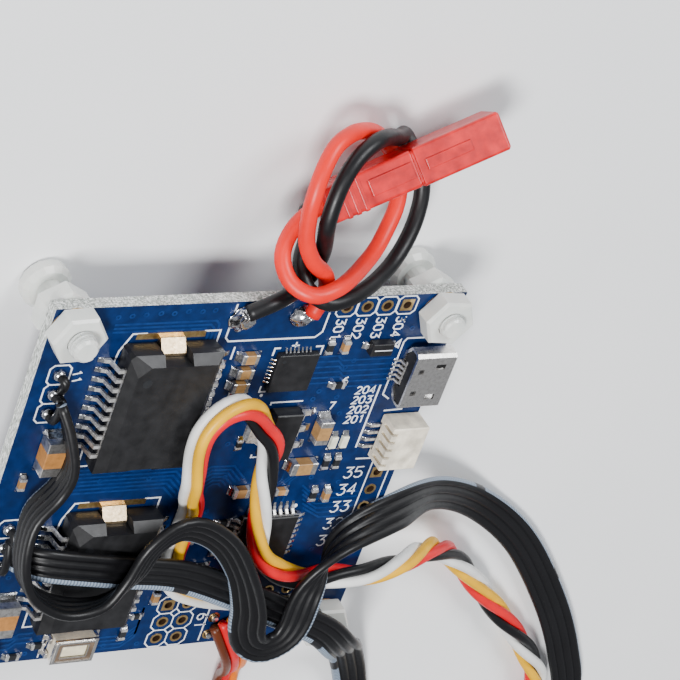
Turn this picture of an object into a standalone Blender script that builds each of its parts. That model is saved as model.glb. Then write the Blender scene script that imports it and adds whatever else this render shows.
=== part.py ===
"""Camera-gimbal controller board on nylon hardware, with its power, motor and sensor leads.

The board lies flat with its components up. X runs east, Y runs north, and Z is up.
The origin is on the surface that the screw heads stand on, under the board's centre.
Lengths below are in millimetres, and MM turns them into Blender's metres.
"""

import math

import bmesh
import bpy
import numpy as np
from mathutils import Matrix, Vector

MM = 0.001
GAP = 0.05  # between parts that rest on each other

# The stack of nylon screw, room for the frame's plate, spacer nut, board and top nut
HEAD_HEIGHT = 2.0
PLATE_ROOM = 2.2
NUT_HEIGHT = 2.4
NUT_ACROSS_FLATS = 5.5
BOARD_THICK = 1.6
BOARD_SIDE = 50.0
HOLE_OFFSET = 22.5  # the corner holes make a 45 mm square
BOARD_LOW = HEAD_HEIGHT + PLATE_ROOM + NUT_HEIGHT
BOARD_TOP = BOARD_LOW + BOARD_THICK
SEAT = BOARD_TOP + GAP
STUD_PAST_NUT = {"nw": 1.7, "ne": 1.0, "sw": 1.4, "se": 0.6}
NUT_TURN = {"nw": 3, "ne": -5, "sw": 8, "se": -2}
CORNERS = {"nw": (-1, 1), "ne": (1, 1), "sw": (-1, -1), "se": (1, -1)}

PIN_PITCH = 2.54
HOLE_RADIUS = 0.5
# Rows of plated holes: first hole, step to the next one, how many
HOLE_ROWS = (
    ((10.1, 23.6), (PIN_PITCH, 0), 4),
    ((-22.2, 16.3), (0, -PIN_PITCH), 3),
    ((-22.2, -4.85), (0, -PIN_PITCH), 3),
    ((1.45, -18.5), (0, -PIN_PITCH), 3),
    ((3.99, -18.5), (0, -PIN_PITCH), 3),
    ((8.2, -18.6), (0, -PIN_PITCH), 3),
    ((22.65, -0.55), (0, -PIN_PITCH), 5),
    ((11.6, -17.6), (PIN_PITCH, 0), 4),
)

# Motor driver: a 20-lead power package with a copper slug
DRIVER_PLACES = {"north": (-10.5, 12.4), "south": (-10.5, -10.8)}
DRIVER_HALF = (5.5, 7.95)
DRIVER_LOW = SEAT + 0.1
DRIVER_TOP = BOARD_TOP + 3.4
DRIVER_PITCH = 1.27
SLUG_HALF_WIDTH = 3.0
TAB_HALF_WIDTH = 1.45
TAB_REACH = 8.6
NOTCH_DEPTH = 1.0
LEAD_BAR_HALF = 6.0

PROCESSOR_AT = (10.1, -8.9)
PROCESSOR_HALF = 3.5
PROCESSOR_PITCH = 0.8

REGULATOR_AT = (6.95, 6.9)
REGULATOR_HALF = (1.75, 3.25)
REGULATOR_PITCH = 2.3

USB_MIDDLE_Y = 14.6
USB_X = (19.9, 25.0)
SOCKET_X = (20.3, 25.0)
SOCKET_Y = (2.2, 8.2)
SOCKET_TOP = BOARD_TOP + 2.95

BUTTON_AT = (-9.95, -22.6)
BUTTON_HALF = (2.65, 1.7)
KEY_HALF = (1.5, 0.72)

WIRE_RADIUS = 0.9
CORE = 1.1  # thickness of one core of a flat lead
SENSOR_LEAD_RADIUS = 1.4

# Plug of the power lead: centre, heading of its length, and roll about its length
PLUG_CENTRE = (13.2, 40.1, 5.65)
PLUG_HEADING = 27.6
PLUG_ROLL = 38.0
PLUG_LENGTH = 21.0
PLUG_WIDTH = 4.3
PLUG_HEIGHT = 5.4
PLUG_PIN_OFFSET = 1.25


def clear_scene():
    for thing in list(bpy.data.objects):
        bpy.data.objects.remove(thing, do_unlink=True)


def new_collection(name):
    made = bpy.data.collections.new(name)
    bpy.context.scene.collection.children.link(made)
    return made


clear_scene()
PARTS = new_collection("gimbal_controller_board")
CUTTERS = new_collection("cutters")


def material(name, color, roughness, metallic=0.0):
    made = bpy.data.materials.new(name)
    made.use_nodes = True
    shader = made.node_tree.nodes["Principled BSDF"]
    shader.inputs["Base Color"].default_value = (*color, 1.0)
    shader.inputs["Roughness"].default_value = roughness
    shader.inputs["Metallic"].default_value = metallic
    made.diffuse_color = (*color, 1.0)
    return made


SOLDER_MASK = material("blue_solder_mask", (0.012, 0.045, 0.17), 0.35)
NYLON = material("white_nylon", (0.85, 0.86, 0.84), 0.45)
BLACK_RESIN = material("black_resin", (0.02, 0.02, 0.022), 0.5)
TIN = material("tinned_copper", (0.72, 0.7, 0.66), 0.3, 1.0)
SOLDER = material("solder", (0.65, 0.65, 0.66), 0.25, 1.0)
STEEL = material("plated_steel", (0.75, 0.73, 0.7), 0.28, 1.0)
BEIGE_PLASTIC = material("beige_plastic", (0.78, 0.72, 0.6), 0.5)
CERAMIC = material("brown_ceramic", (0.33, 0.2, 0.11), 0.5)
LAMP_RESIN = material("clear_lamp_resin", (0.85, 0.86, 0.78), 0.25)
RED_PLASTIC = material("red_plastic", (0.8, 0.02, 0.025), 0.3)
RED_SILICONE = material("red_silicone", (0.85, 0.06, 0.04), 0.4)
BLACK_SILICONE = material("black_silicone", (0.02, 0.02, 0.022), 0.4)
FLAT_LEAD_BLACK = material("black_flat_lead", (0.03, 0.03, 0.035), 0.4)
SENSOR_SHEATH = material("sensor_lead_sheath", (0.85, 0.7, 0.25), 0.45)
BROWN_SHEATH = material("brown_lead_sheath", (0.25, 0.09, 0.03), 0.45)


def add_mesh(name, mesh, finish, cutter=False):
    bmesh.ops.recalc_face_normals(mesh, faces=mesh.faces)
    data = bpy.data.meshes.new(name)
    mesh.to_mesh(data)
    mesh.free()
    made = bpy.data.objects.new(name, data)
    if cutter:
        CUTTERS.objects.link(made)
        made.hide_render = True
        made.display_type = "WIRE"
        return made
    data.materials.append(finish)
    PARTS.objects.link(made)
    return made


def put_block(mesh, low, high):
    middle = [(a + b) / 2 * MM for a, b in zip(low, high)]
    size = [(b - a) * MM for a, b in zip(low, high)]
    place = Matrix.Translation(middle) @ Matrix.Diagonal((*size, 1))
    bmesh.ops.create_cube(mesh, size=1, matrix=place)


def blocks(name, corners, finish, bevel=0.0, cutter=False):
    """One object made of the boxes in corners, each (low corner, high corner)."""
    mesh = bmesh.new()
    for low, high in corners:
        put_block(mesh, low, high)
    made = add_mesh(name, mesh, finish, cutter)
    if bevel:
        edge = made.modifiers.new("edge", "BEVEL")
        edge.width = bevel * MM
        edge.segments = 1
    return made


def block_at(name, middle, half, z_low, z_high, finish, bevel=0.0):
    low = (middle[0] - half[0], middle[1] - half[1], z_low)
    high = (middle[0] + half[0], middle[1] + half[1], z_high)
    return blocks(name, [(low, high)], finish, bevel)


def put_prism(mesh, outline, along, start, end, place=None):
    """Adds the outline's points, pushed from start to end along one axis."""
    rings = []
    for level in (start, end):
        ring = []
        for a, b in outline:
            spot = {"x": (level, a, b), "y": (a, level, b), "z": (a, b, level)}[along]
            spot = Vector(spot) * MM
            ring.append(mesh.verts.new(place @ spot if place else spot))
        rings.append(ring)
    first, last = rings
    count = len(outline)
    mesh.faces.new(first)
    mesh.faces.new(last)
    for i in range(count):
        j = (i + 1) % count
        mesh.faces.new((first[i], first[j], last[j], last[i]))


def put_tube_prism(mesh, outer, inner, start, end):
    """Adds a hollow prism along X, from two outlines with the same number of points."""
    loops = []
    for outline in (outer, inner):
        for x in (start, end):
            loops.append([mesh.verts.new(Vector((x, y, z)) * MM) for y, z in outline])
    outer_start, outer_end, inner_start, inner_end = loops
    count = len(outer)
    for i in range(count):
        j = (i + 1) % count
        mesh.faces.new((outer_start[i], outer_start[j], outer_end[j], outer_end[i]))
        mesh.faces.new((inner_start[i], inner_start[j], inner_end[j], inner_end[i]))
        mesh.faces.new((outer_start[i], outer_start[j], inner_start[j], inner_start[i]))
        mesh.faces.new((outer_end[i], outer_end[j], inner_end[j], inner_end[i]))


def put_turned(mesh, profile, middle, steps, turn=0.0):
    """Adds a solid of revolution about a vertical axis. The profile is (radius, height), from bottom to top."""
    rings = []
    for radius, height in profile:
        if radius == 0:
            spot = Vector((middle[0], middle[1], height)) * MM
            rings.append([mesh.verts.new(spot)])
            continue
        ring = []
        for k in range(steps):
            angle = 2 * math.pi * k / steps + turn
            x = middle[0] + radius * math.cos(angle)
            y = middle[1] + radius * math.sin(angle)
            ring.append(mesh.verts.new(Vector((x, y, height)) * MM))
        rings.append(ring)
    for below, above in zip(rings, rings[1:]):
        for k in range(steps):
            n = (k + 1) % steps
            corners = [below[k % len(below)], below[n % len(below)]]
            corners += [above[n % len(above)], above[k % len(above)]]
            mesh.faces.new(list(dict.fromkeys(corners)))
    for ring in (rings[0], rings[-1]):
        if len(ring) > 1:
            mesh.faces.new(ring)


def turned(name, profile, middle, finish, steps, turn=0.0):
    mesh = bmesh.new()
    put_turned(mesh, profile, middle, steps, turn)
    return add_mesh(name, mesh, finish)


def combine(target, other, operation):
    """Booleans other with target, and keeps other as a hidden helper."""
    if other.name in PARTS.objects:
        PARTS.objects.unlink(other)
        CUTTERS.objects.link(other)
        other.hide_render = True
        other.display_type = "WIRE"
    step = target.modifiers.new(operation.lower(), "BOOLEAN")
    step.object = other
    step.operation = operation
    step.solver = "EXACT"
    return target


def cut_blocks(target, corners):
    cutter = blocks(target.name + "_cutter", corners, None, cutter=True)
    return combine(target, cutter, "DIFFERENCE")


def cut_round(target, places, z_low, z_high, steps):
    """Drills vertical round holes, each (x, y, radius)."""
    mesh = bmesh.new()
    for x, y, radius in places:
        put_turned(mesh, [(radius, z_low), (radius, z_high)], (x, y), steps)
    cutter = add_mesh(target.name + f"_drill_{steps}", mesh, None, cutter=True)
    return combine(target, cutter, "DIFFERENCE")


def make_board():
    half = BOARD_SIDE / 2
    board = block_at("circuit_board", (0, 0), (half, half), BOARD_LOW, BOARD_TOP, SOLDER_MASK)
    low, high = BOARD_LOW - 1, BOARD_TOP + 1
    corners = [(sx * HOLE_OFFSET, sy * HOLE_OFFSET, 1.6) for sx, sy in CORNERS.values()]
    cut_round(board, corners, low, high, 20)
    small = []
    for first, step, count in HOLE_ROWS:
        for k in range(count):
            small.append((first[0] + k * step[0], first[1] + k * step[1], HOLE_RADIUS))
    cut_round(board, small, low, high, 10)


def make_nut(name, middle, z_low, turn):
    corner = NUT_ACROSS_FLATS / math.sqrt(3)
    high = z_low + NUT_HEIGHT
    chamfer = 0.3
    profile = [(corner - chamfer, z_low), (corner, z_low + chamfer)]
    profile += [(corner, high - chamfer), (corner - chamfer, high)]
    nut = turned(name, profile, middle, NYLON, 6, math.radians(turn))
    cut_round(nut, [(*middle, 1.55)], z_low - 1, high + 1, 16)


def make_screw(name, middle, stud_end):
    head = 2.8
    shank = 1.42
    profile = [(head - 0.3, 0.0), (head, 0.4), (head, 1.4), (head - 0.5, HEAD_HEIGHT)]
    profile += [(shank, HEAD_HEIGHT), (shank, stud_end - 0.3), (shank - 0.3, stud_end)]
    turned(name, profile, middle, NYLON, 16)


def make_hardware():
    for corner, (sx, sy) in CORNERS.items():
        middle = (sx * HOLE_OFFSET, sy * HOLE_OFFSET)
        top = BOARD_TOP + GAP / 2
        make_nut(f"spacer_nut_{corner}", middle, BOARD_LOW - NUT_HEIGHT - GAP / 2, 30)
        make_nut(f"top_nut_{corner}", middle, top, NUT_TURN[corner])
        make_screw(f"screw_{corner}", middle, top + NUT_HEIGHT + STUD_PAST_NUT[corner])


def gull_wing(root, knee, toe, shoulder, thick):
    """Outline of a bent lead as (outwards, height): root in the body, knee where it turns down, toe at its end."""
    foot = SEAT
    return [
        (root, shoulder),
        (knee, shoulder),
        (knee + 0.35, foot + thick + 0.15),
        (toe, foot + thick),
        (toe, foot),
        (knee + 0.15, foot),
        (knee - 0.2, shoulder - thick),
        (root, shoulder - thick),
    ]


def lead_comb(name, middle, facing, outline, places, width, bar):
    """Leads side by side, joined by a bar that sits in a groove of the package.

    facing is the angle that the leads point to, and bar is (near, far, half length, low, high).
    """
    turn = Matrix.Translation(Vector((*middle, 0)) * MM) @ Matrix.Rotation(facing, 4, "Z")
    mesh = bmesh.new()
    for place in places:
        put_prism(mesh, outline, "y", place - width / 2, place + width / 2, turn)
    comb = add_mesh(name, mesh, TIN)
    near, far, half, low, high = bar
    strap = bmesh.new()
    rectangle = [(near, low), (far, low), (far, high), (near, high)]
    put_prism(strap, rectangle, "y", -half, half, turn)
    return combine(comb, add_mesh(name + "_strap", strap, None, cutter=True), "UNION")


def centred_row(count, pitch):
    return [(k - (count - 1) / 2) * pitch for k in range(count)]


def moulded_body(name, middle):
    """A moulded package: upright at its parting line, sloped above and below it, one top corner cut."""
    levels = (
        (DRIVER_LOW, 0.15, 0.3),
        (BOARD_TOP + 1.6, 0.0, 0.3),
        (BOARD_TOP + 2.45, 0.0, 0.5),
        (DRIVER_TOP, 0.95, 1.3),
    )
    mesh = bmesh.new()
    rings = []
    for height, inset, cut in levels:
        x = DRIVER_HALF[0] - inset
        y = DRIVER_HALF[1] - inset
        outline = [(x, y), (-x + cut, y), (-x, y - cut), (-x, -y), (x, -y)]
        spots = [(middle[0] + a, middle[1] + b, height) for a, b in outline]
        rings.append([mesh.verts.new(Vector(spot) * MM) for spot in spots])
    for below, above in zip(rings, rings[1:]):
        for k in range(len(below)):
            n = (k + 1) % len(below)
            mesh.faces.new((below[k], below[n], above[n], above[k]))
    mesh.faces.new(rings[0])
    mesh.faces.new(rings[-1])
    return add_mesh(name, mesh, BLACK_RESIN)


def make_driver(place, middle):
    x, y = middle
    half_x, half_y = DRIVER_HALF
    slug_top = SEAT + 1.1
    bar_low, bar_high = BOARD_TOP + 1.9, BOARD_TOP + 2.3
    body = moulded_body(f"driver_{place}_body", middle)
    notch_half = TAB_HALF_WIDTH + 0.2
    plate_half = half_y - NOTCH_DEPTH - 0.3
    room = plate_half + GAP
    under = (x - SLUG_HALF_WIDTH - GAP, y - room, DRIVER_LOW - 1)
    cuts = [(under, (x + SLUG_HALF_WIDTH + GAP, y + room, slug_top + GAP))]
    for side in (-1, 1):
        inner = y + side * (half_y - NOTCH_DEPTH)
        outer = y + side * (half_y + 1)
        low = (x - notch_half, min(inner, outer), DRIVER_LOW - 1)
        cuts.append((low, (x + notch_half, max(inner, outer), DRIVER_TOP + 1)))
        inner = x + side * (half_x - 0.5)
        outer = x + side * (half_x + 1)
        low = (min(inner, outer), y - LEAD_BAR_HALF - GAP, bar_low - GAP)
        cuts.append((low, (max(inner, outer), y + LEAD_BAR_HALF + GAP, bar_high + GAP)))
    tab_room = TAB_HALF_WIDTH + GAP
    low = (x - tab_room, y - half_y - 1, DRIVER_LOW - 1)
    cut_blocks(body, [(low, (x + tab_room, y + half_y + 1, slug_top + GAP))])
    cut_blocks(body, [cuts[0]])
    cut_blocks(body, cuts[1:])

    tab_base = half_y - NOTCH_DEPTH + GAP
    tab_top = BOARD_TOP + 1.6
    toe = SEAT + 0.45
    outline = [(-TAB_REACH, SEAT), (TAB_REACH, SEAT), (TAB_REACH, toe)]
    outline += [(tab_base + 0.35, tab_top), (tab_base, tab_top), (tab_base, slug_top)]
    outline += [(-tab_base, slug_top), (-tab_base, tab_top), (-tab_base - 0.35, tab_top)]
    outline += [(-TAB_REACH, toe)]
    mesh = bmesh.new()
    shift = Matrix.Translation(Vector((x, y, 0)) * MM)
    put_prism(mesh, outline, "x", -TAB_HALF_WIDTH, TAB_HALF_WIDTH, shift)
    slug = add_mesh(f"driver_{place}_slug", mesh, TIN)
    low = (x - SLUG_HALF_WIDTH, y - plate_half, SEAT + 0.02)
    high = (x + SLUG_HALF_WIDTH, y + plate_half, slug_top - 0.02)
    combine(slug, blocks(slug.name + "_plate", [(low, high)], None, cutter=True), "UNION")

    outline = gull_wing(half_x - 0.2, 6.25, 7.15, bar_high - 0.06, 0.28)
    bar = (half_x - 0.45, half_x - 0.1, LEAD_BAR_HALF, bar_low, bar_high)
    places = centred_row(10, DRIVER_PITCH)
    for side, facing in (("east", 0.0), ("west", math.pi)):
        name = f"driver_{place}_leads_{side}"
        lead_comb(name, middle, facing, outline, places, 0.45, bar)


def make_processor():
    low, high = SEAT + 0.05, BOARD_TOP + 1.15
    groove_low, groove_high = BOARD_TOP + 0.5, BOARD_TOP + 0.8
    edge = PROCESSOR_HALF
    deep = edge - 0.4
    corner = math.sqrt(2)
    sides = [(edge - 0.1, low), (edge, low + 0.1), (edge, groove_low - GAP)]
    sides += [(deep, groove_low - GAP), (deep, groove_high + GAP)]
    sides += [(edge, groove_high + GAP), (edge, high - 0.12), (edge - 0.12, high)]
    profile = [(side * corner, height) for side, height in sides]
    turned("processor_body", profile, PROCESSOR_AT, BLACK_RESIN, 4, math.radians(45))
    outline = gull_wing(edge - 0.2, edge + 0.2, edge + 1.0, groove_high - 0.03, 0.15)
    mesh = bmesh.new()
    for quarter in range(4):
        turn = Matrix.Translation(Vector((*PROCESSOR_AT, 0)) * MM)
        turn = turn @ Matrix.Rotation(quarter * math.pi / 2, 4, "Z")
        for place in centred_row(8, PROCESSOR_PITCH):
            put_prism(mesh, outline, "y", place - 0.16, place + 0.16, turn)
    leads = add_mesh("processor_leads", mesh, TIN)
    x, y = PROCESSOR_AT
    reach = edge - 0.08
    rim = edge - 0.35
    frame = blocks(
        "processor_frame",
        [((x - reach, y - reach, groove_low), (x + reach, y + reach, groove_high))],
        None,
        cutter=True,
    )
    cut_blocks(frame, [((x - rim, y - rim, groove_low - 1), (x + rim, y + rim, groove_high + 1))])
    combine(leads, frame, "UNION")


def make_regulator():
    x, y = REGULATOR_AT
    half_x, half_y = REGULATOR_HALF
    bar_low, bar_high = BOARD_TOP + 0.85, BOARD_TOP + 1.15
    top = BOARD_TOP + 1.7
    body = block_at(
        "regulator_body", REGULATOR_AT, REGULATOR_HALF, SEAT + 0.05, top, BLACK_RESIN, 0.12
    )
    bar_half = 2.9
    east = (x + half_x - 0.5, y - bar_half - GAP, bar_low - GAP)
    west = (x - half_x - 1, y - 1.55, bar_low - GAP)
    cut_blocks(
        body,
        [
            (east, (x + half_x + 1, y + bar_half + GAP, bar_high + GAP)),
            (west, (x - half_x + 0.5, y + 1.55, bar_high + GAP)),
        ],
    )
    outline = gull_wing(half_x - 0.2, half_x + 0.45, half_x + 1.75, bar_high - 0.03, 0.24)
    bar = (half_x - 0.42, half_x - 0.1, bar_half, bar_low, bar_high)
    row = centred_row(3, REGULATOR_PITCH)
    lead_comb("regulator_leads", REGULATOR_AT, 0.0, outline, row, 0.7, bar)
    tab_outline = gull_wing(half_x - 0.42, half_x + 0.45, half_x + 1.75, bar_high - 0.03, 0.24)
    mesh = bmesh.new()
    turn = Matrix.Translation(Vector((x, y, 0)) * MM) @ Matrix.Rotation(math.pi, 4, "Z")
    put_prism(mesh, tab_outline, "y", -1.5, 1.5, turn)
    add_mesh("regulator_tab", mesh, TIN)


def usb_outline(half_width, low, high, corner):
    """Cross-section of the micro-USB shell, as (y, z): square on top, with its lower corners cut."""
    y = USB_MIDDLE_Y
    return [
        (y - half_width + 1.1, low),
        (y + half_width - 1.1, low),
        (y + half_width, low + 0.9),
        (y + half_width, high - corner),
        (y + half_width - corner, high),
        (y - half_width + corner, high),
        (y - half_width, high - corner),
        (y - half_width, low + 0.9),
    ]


def make_usb_socket():
    low, high = SEAT, BOARD_TOP + 2.6
    wall = 0.28
    mesh = bmesh.new()
    outer = usb_outline(3.75, low, high, 0.35)
    inner = usb_outline(3.75 - wall, low + wall, high - wall, 0.25)
    put_tube_prism(mesh, outer, inner, *USB_X)
    shell = add_mesh("usb_shell", mesh, STEEL)
    back, front = USB_X
    y = USB_MIDDLE_Y
    slots = []
    for side in (-1, 1):
        middle = y + side * 2.1
        slots.append(((22.7, middle - 0.35, high - 0.6), (23.9, middle + 0.35, high + 0.5)))
        middle = y + side * 1.5
        slots.append(((20.6, middle - 0.3, high - 0.6), (21.3, middle + 0.3, high + 0.5)))
    cut_blocks(shell, slots)
    clear = wall + GAP
    mesh = bmesh.new()
    put_prism(mesh, usb_outline(3.75 - clear, low + clear, high - clear, 0.25), "x", back + 0.1, 21.9)
    insulator = add_mesh("usb_insulator", mesh, BLACK_RESIN)
    tongue = [((21.5, y - 1.8, BOARD_TOP + 1.3), (front - 0.7, y + 1.8, BOARD_TOP + 1.9))]
    combine(insulator, blocks("usb_tongue", tongue, None, cutter=True), "UNION")
    cut_blocks(insulator, [((back - 1, y - 1.7, low), (back + 1.1, y + 1.7, BOARD_TOP + 1.1))])
    outline = [(-0.5, BOARD_TOP + 0.95), (0.55, BOARD_TOP + 0.95), (0.75, SEAT + 0.18)]
    outline += [(1.25, SEAT + 0.18), (1.25, SEAT), (0.6, SEAT), (0.4, BOARD_TOP + 0.75)]
    outline += [(-0.5, BOARD_TOP + 0.75)]
    outline = [(across - 0.6, height) for across, height in outline]
    bar = (-0.55, -0.35, 1.55, BOARD_TOP + 0.65, BOARD_TOP + 1.0)
    shifted = (back - 0.15, y)
    lead_comb("usb_contacts", shifted, math.pi, outline, centred_row(5, 0.65), 0.25, bar)


def make_sensor_socket():
    low = (SOCKET_X[0], SOCKET_Y[0], SEAT)
    high = (SOCKET_X[1], SOCKET_Y[1], SOCKET_TOP)
    housing = blocks("sensor_socket_housing", [(low, high)], BEIGE_PLASTIC, 0.12)
    middle = (SOCKET_Y[0] + SOCKET_Y[1]) / 2
    mouth = ((21.9, middle - 2.2, BOARD_TOP + 0.75), (26, middle + 2.2, BOARD_TOP + 2.35))
    slots = []
    for place in centred_row(5, 1.1):
        y = middle + place
        slots.append(((19.9, y - 0.2, BOARD_TOP + 0.9), (21.0, y + 0.2, SOCKET_TOP + 0.3)))
    cut_blocks(housing, [mouth, *slots])
    foot = ((19.9, middle - 1.95, SEAT - 0.5), (21.2, middle + 1.95, BOARD_TOP + 0.5))
    cut_blocks(housing, [foot])
    tails = [(0, SEAT + 0.3), (2.0, SEAT + 0.3), (2.0, SEAT), (0, SEAT)]
    bar = (0.05, 0.35, 1.85, SEAT, BOARD_TOP + 0.42)
    row = centred_row(4, 1.0)
    lead_comb("sensor_socket_contacts", (21.05, middle), math.pi, tails, row, 0.35, bar)


def make_reset_button():
    x, y = BUTTON_AT
    half_x, half_y = BUTTON_HALF
    key_x, key_y = KEY_HALF
    base_top = BOARD_TOP + 1.4
    base = block_at(
        "reset_button_base", BUTTON_AT, (half_x - 0.15, half_y - 0.15), SEAT, base_top, BEIGE_PLASTIC
    )
    pocket_x, pocket_y = key_x + 0.1, key_y + 0.1
    pocket_floor = BOARD_TOP + 0.6
    low = (x - pocket_x, y - pocket_y, pocket_floor)
    cut_blocks(base, [(low, (x + pocket_x, y + pocket_y, base_top + 1))])
    frame_low, frame_top = base_top + GAP, base_top + 0.35
    frame = block_at("reset_button_frame", BUTTON_AT, BUTTON_HALF, frame_low, frame_top, STEEL)
    low = (x - pocket_x, y - pocket_y, frame_low - 1)
    cut_blocks(frame, [(low, (x + pocket_x, y + pocket_y, frame_top + 1))])
    key_low, key_top = BOARD_TOP + 0.95, frame_top - 0.05
    key = block_at("reset_button_key", (0, 0), KEY_HALF, key_low - key_top, 0, BEIGE_PLASTIC, 0.08)
    key.location = Vector((x, y, key_top)) * MM


def make_small_parts():
    parts = (
        ("motor_capacitor_north", (-20.2, 6.2), (1.6, 2.25), 2.0, CERAMIC),
        ("motor_capacitor_south", (-20.2, -17.0), (1.6, 2.25), 2.0, CERAMIC),
        ("input_capacitor_1", (-0.2, 17.6), (1.0, 0.62), 0.9, CERAMIC),
        ("input_capacitor_2", (-0.2, 15.6), (1.0, 0.62), 0.9, CERAMIC),
        ("input_capacitor_3", (-0.2, 13.7), (1.0, 0.62), 0.9, CERAMIC),
        ("regulator_capacitor_east", (12.4, 6.95), (0.8, 1.6), 1.5, CERAMIC),
        ("regulator_capacitor_south", (11.7, 1.7), (1.6, 0.8), 1.3, CERAMIC),
        ("power_diode", (16.0, 18.2), (1.35, 0.8), 1.1, BLACK_RESIN),
        ("usb_bridge_chip", (5.85, 15.4), (2.5, 2.5), 0.85, BLACK_RESIN),
        ("power_lamp", (14.85, 4.7), (0.4, 0.8), 0.6, LAMP_RESIN),
        ("status_lamp", (16.25, 4.7), (0.4, 0.8), 0.6, LAMP_RESIN),
    )
    for name, middle, half, height, finish in parts:
        block_at(name, middle, half, SEAT, BOARD_TOP + height, finish, 0.06)


def make_solder_joints():
    for name, x in (("solder_joint_red", 4.4), ("solder_joint_black", -3.0)):
        profile = [(1.2, SEAT), (1.05, SEAT + 0.4), (0.6, SEAT + 0.75), (0, SEAT + 0.85)]
        turned(name, profile, (x, 22.7), SOLDER, 12)


def plug_frame():
    """Matrix that takes the plug's own frame, with its length on X, into the object's frame."""
    heading = Matrix.Rotation(math.radians(PLUG_HEADING), 4, "Z")
    roll = Matrix.Rotation(-math.radians(PLUG_ROLL), 4, "X")
    return Matrix.Translation(Vector(PLUG_CENTRE) * MM) @ heading @ roll


def plug_point(along, across, up):
    """A point of the plug's own frame, in the object's frame and in millimetres."""
    return tuple(plug_frame() @ (Vector((along, across, up)) * MM) / MM)


def in_plug_frame(made):
    made.data.transform(plug_frame())
    return made


def make_power_plug():
    half = (PLUG_LENGTH / 2, PLUG_WIDTH / 2, PLUG_HEIGHT / 2)
    low = tuple(-side for side in half)
    plug = in_plug_frame(blocks("power_plug_housing", [(low, half)], RED_PLASTIC, 0.25))
    holes = []
    for side in (-1, 1):
        pin = side * PLUG_PIN_OFFSET
        holes.append(((2.5, -0.85, pin - 0.85), (half[0] + 1, 0.85, pin + 0.85)))
        holes.append(((-half[0] - 1, -0.95, pin - 0.95), (-half[0] + 3, 0.95, pin + 0.95)))
    drill = blocks("power_plug_holes", holes, None, cutter=True)
    combine(plug, in_plug_frame(drill), "DIFFERENCE")
    for name, side in (("plug_contact_red", 1), ("plug_contact_black", -1)):
        pin = side * PLUG_PIN_OFFSET
        low = (2.8, -0.55, pin - 0.55)
        in_plug_frame(blocks(name, [(low, (half[0] - 1.2, 0.55, pin + 0.55))], TIN))


def smooth_path(route, spacing):
    """Points at even spacing along a smooth curve through the route's points."""
    route = np.array(route, float)
    padded = np.vstack([2 * route[0] - route[1], route, 2 * route[-1] - route[-2]])
    fine = []
    for a, b, c, d in zip(padded, padded[1:], padded[2:], padded[3:]):
        for t in np.linspace(0, 1, 20, endpoint=False):
            linear = (c - a) * t
            square = (2 * a - 5 * b + 4 * c - d) * t**2
            cubic = (3 * b - a - 3 * c + d) * t**3
            fine.append((2 * b + linear + square + cubic) / 2)
    fine = np.array([*fine, route[-1]])
    along = np.concatenate([[0], np.cumsum(np.linalg.norm(np.diff(fine, axis=0), axis=1))])
    stops = np.linspace(0, along[-1], max(2, round(along[-1] / spacing) + 1))
    return np.stack([np.interp(stops, along, fine[:, k]) for k in range(3)], axis=1)


def round_lead(name, route, radius, spacing, finish):
    curve = bpy.data.curves.new(name, "CURVE")
    curve.dimensions = "3D"
    curve.bevel_depth = radius * MM
    curve.bevel_resolution = 2
    curve.use_fill_caps = True
    points = smooth_path(route, spacing)
    line = curve.splines.new("POLY")
    line.points.add(len(points) - 1)
    for spot, point in zip(line.points, points):
        spot.co = (*(point * MM), 1)
    curve.materials.append(finish)
    PARTS.objects.link(bpy.data.objects.new(name, curve))


def flat_lead(name, route, cores, spacing, finish):
    """A ribbon of cores side by side, lying flat, as one strip."""
    points = smooth_path(route, spacing)
    heading = np.gradient(points, axis=0)
    across = np.stack([-heading[:, 1], heading[:, 0], np.zeros(len(points))], axis=1)
    across /= np.linalg.norm(across, axis=1)[:, None]
    upright = np.cross(heading / np.linalg.norm(heading, axis=1)[:, None], across)
    half_width, half_thick = cores * CORE / 2, CORE / 2
    mesh = bmesh.new()
    rings = []
    for point, side, up in zip(points, across, upright):
        ring = []
        for a, b in ((-1, -1), (1, -1), (1, 1), (-1, 1)):
            spot = point + side * a * half_width + up * b * half_thick
            ring.append(mesh.verts.new(Vector(spot) * MM))
        rings.append(ring)
    for here, there in zip(rings, rings[1:]):
        for k in range(4):
            n = (k + 1) % 4
            mesh.faces.new((here[k], here[n], there[n], there[k]))
    mesh.faces.new(rings[0])
    mesh.faces.new(rings[-1])
    add_mesh(name, mesh, finish)


RED_ROUTE = [
    (5.1, 23.7, 9.3),
    (5.7, 26.5, 9.3),
    (4.8, 29.1, 9.5),
    (2.6, 31.0, 9.6),
    (1.1, 33.4, 9.3),
    (0.5, 36.2, 9.0),
    (0.4, 39.0, 8.7),
    (1.1, 41.6, 7.7),
    (2.6, 43.6, 6.4),
    (5.0, 44.2, 5.1),
    (7.5, 43.6, 3.8),
    (9.7, 42.4, 2.5),
    (11.8, 40.8, 1.4),
    (13.8, 38.9, 1.3),
    (15.0, 36.6, 2.4),
    (14.8, 34.1, 3.9),
    (13.6, 31.9, 5.3),
    (11.9, 30.3, 6.9),
    (9.7, 29.5, 8.6),
    (7.5, 29.3, 10.3),
    (5.0, 29.1, 11.8),
    (2.3, 28.5, 12.0),
    (0.2, 29.0, 10.3),
    (-0.5, 30.9, 8.3),
    (0.4, 33.3, 7.1),
    (2.3, 35.3, 6.6),
    (4.9, 36.6, 6.6),
]
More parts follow.
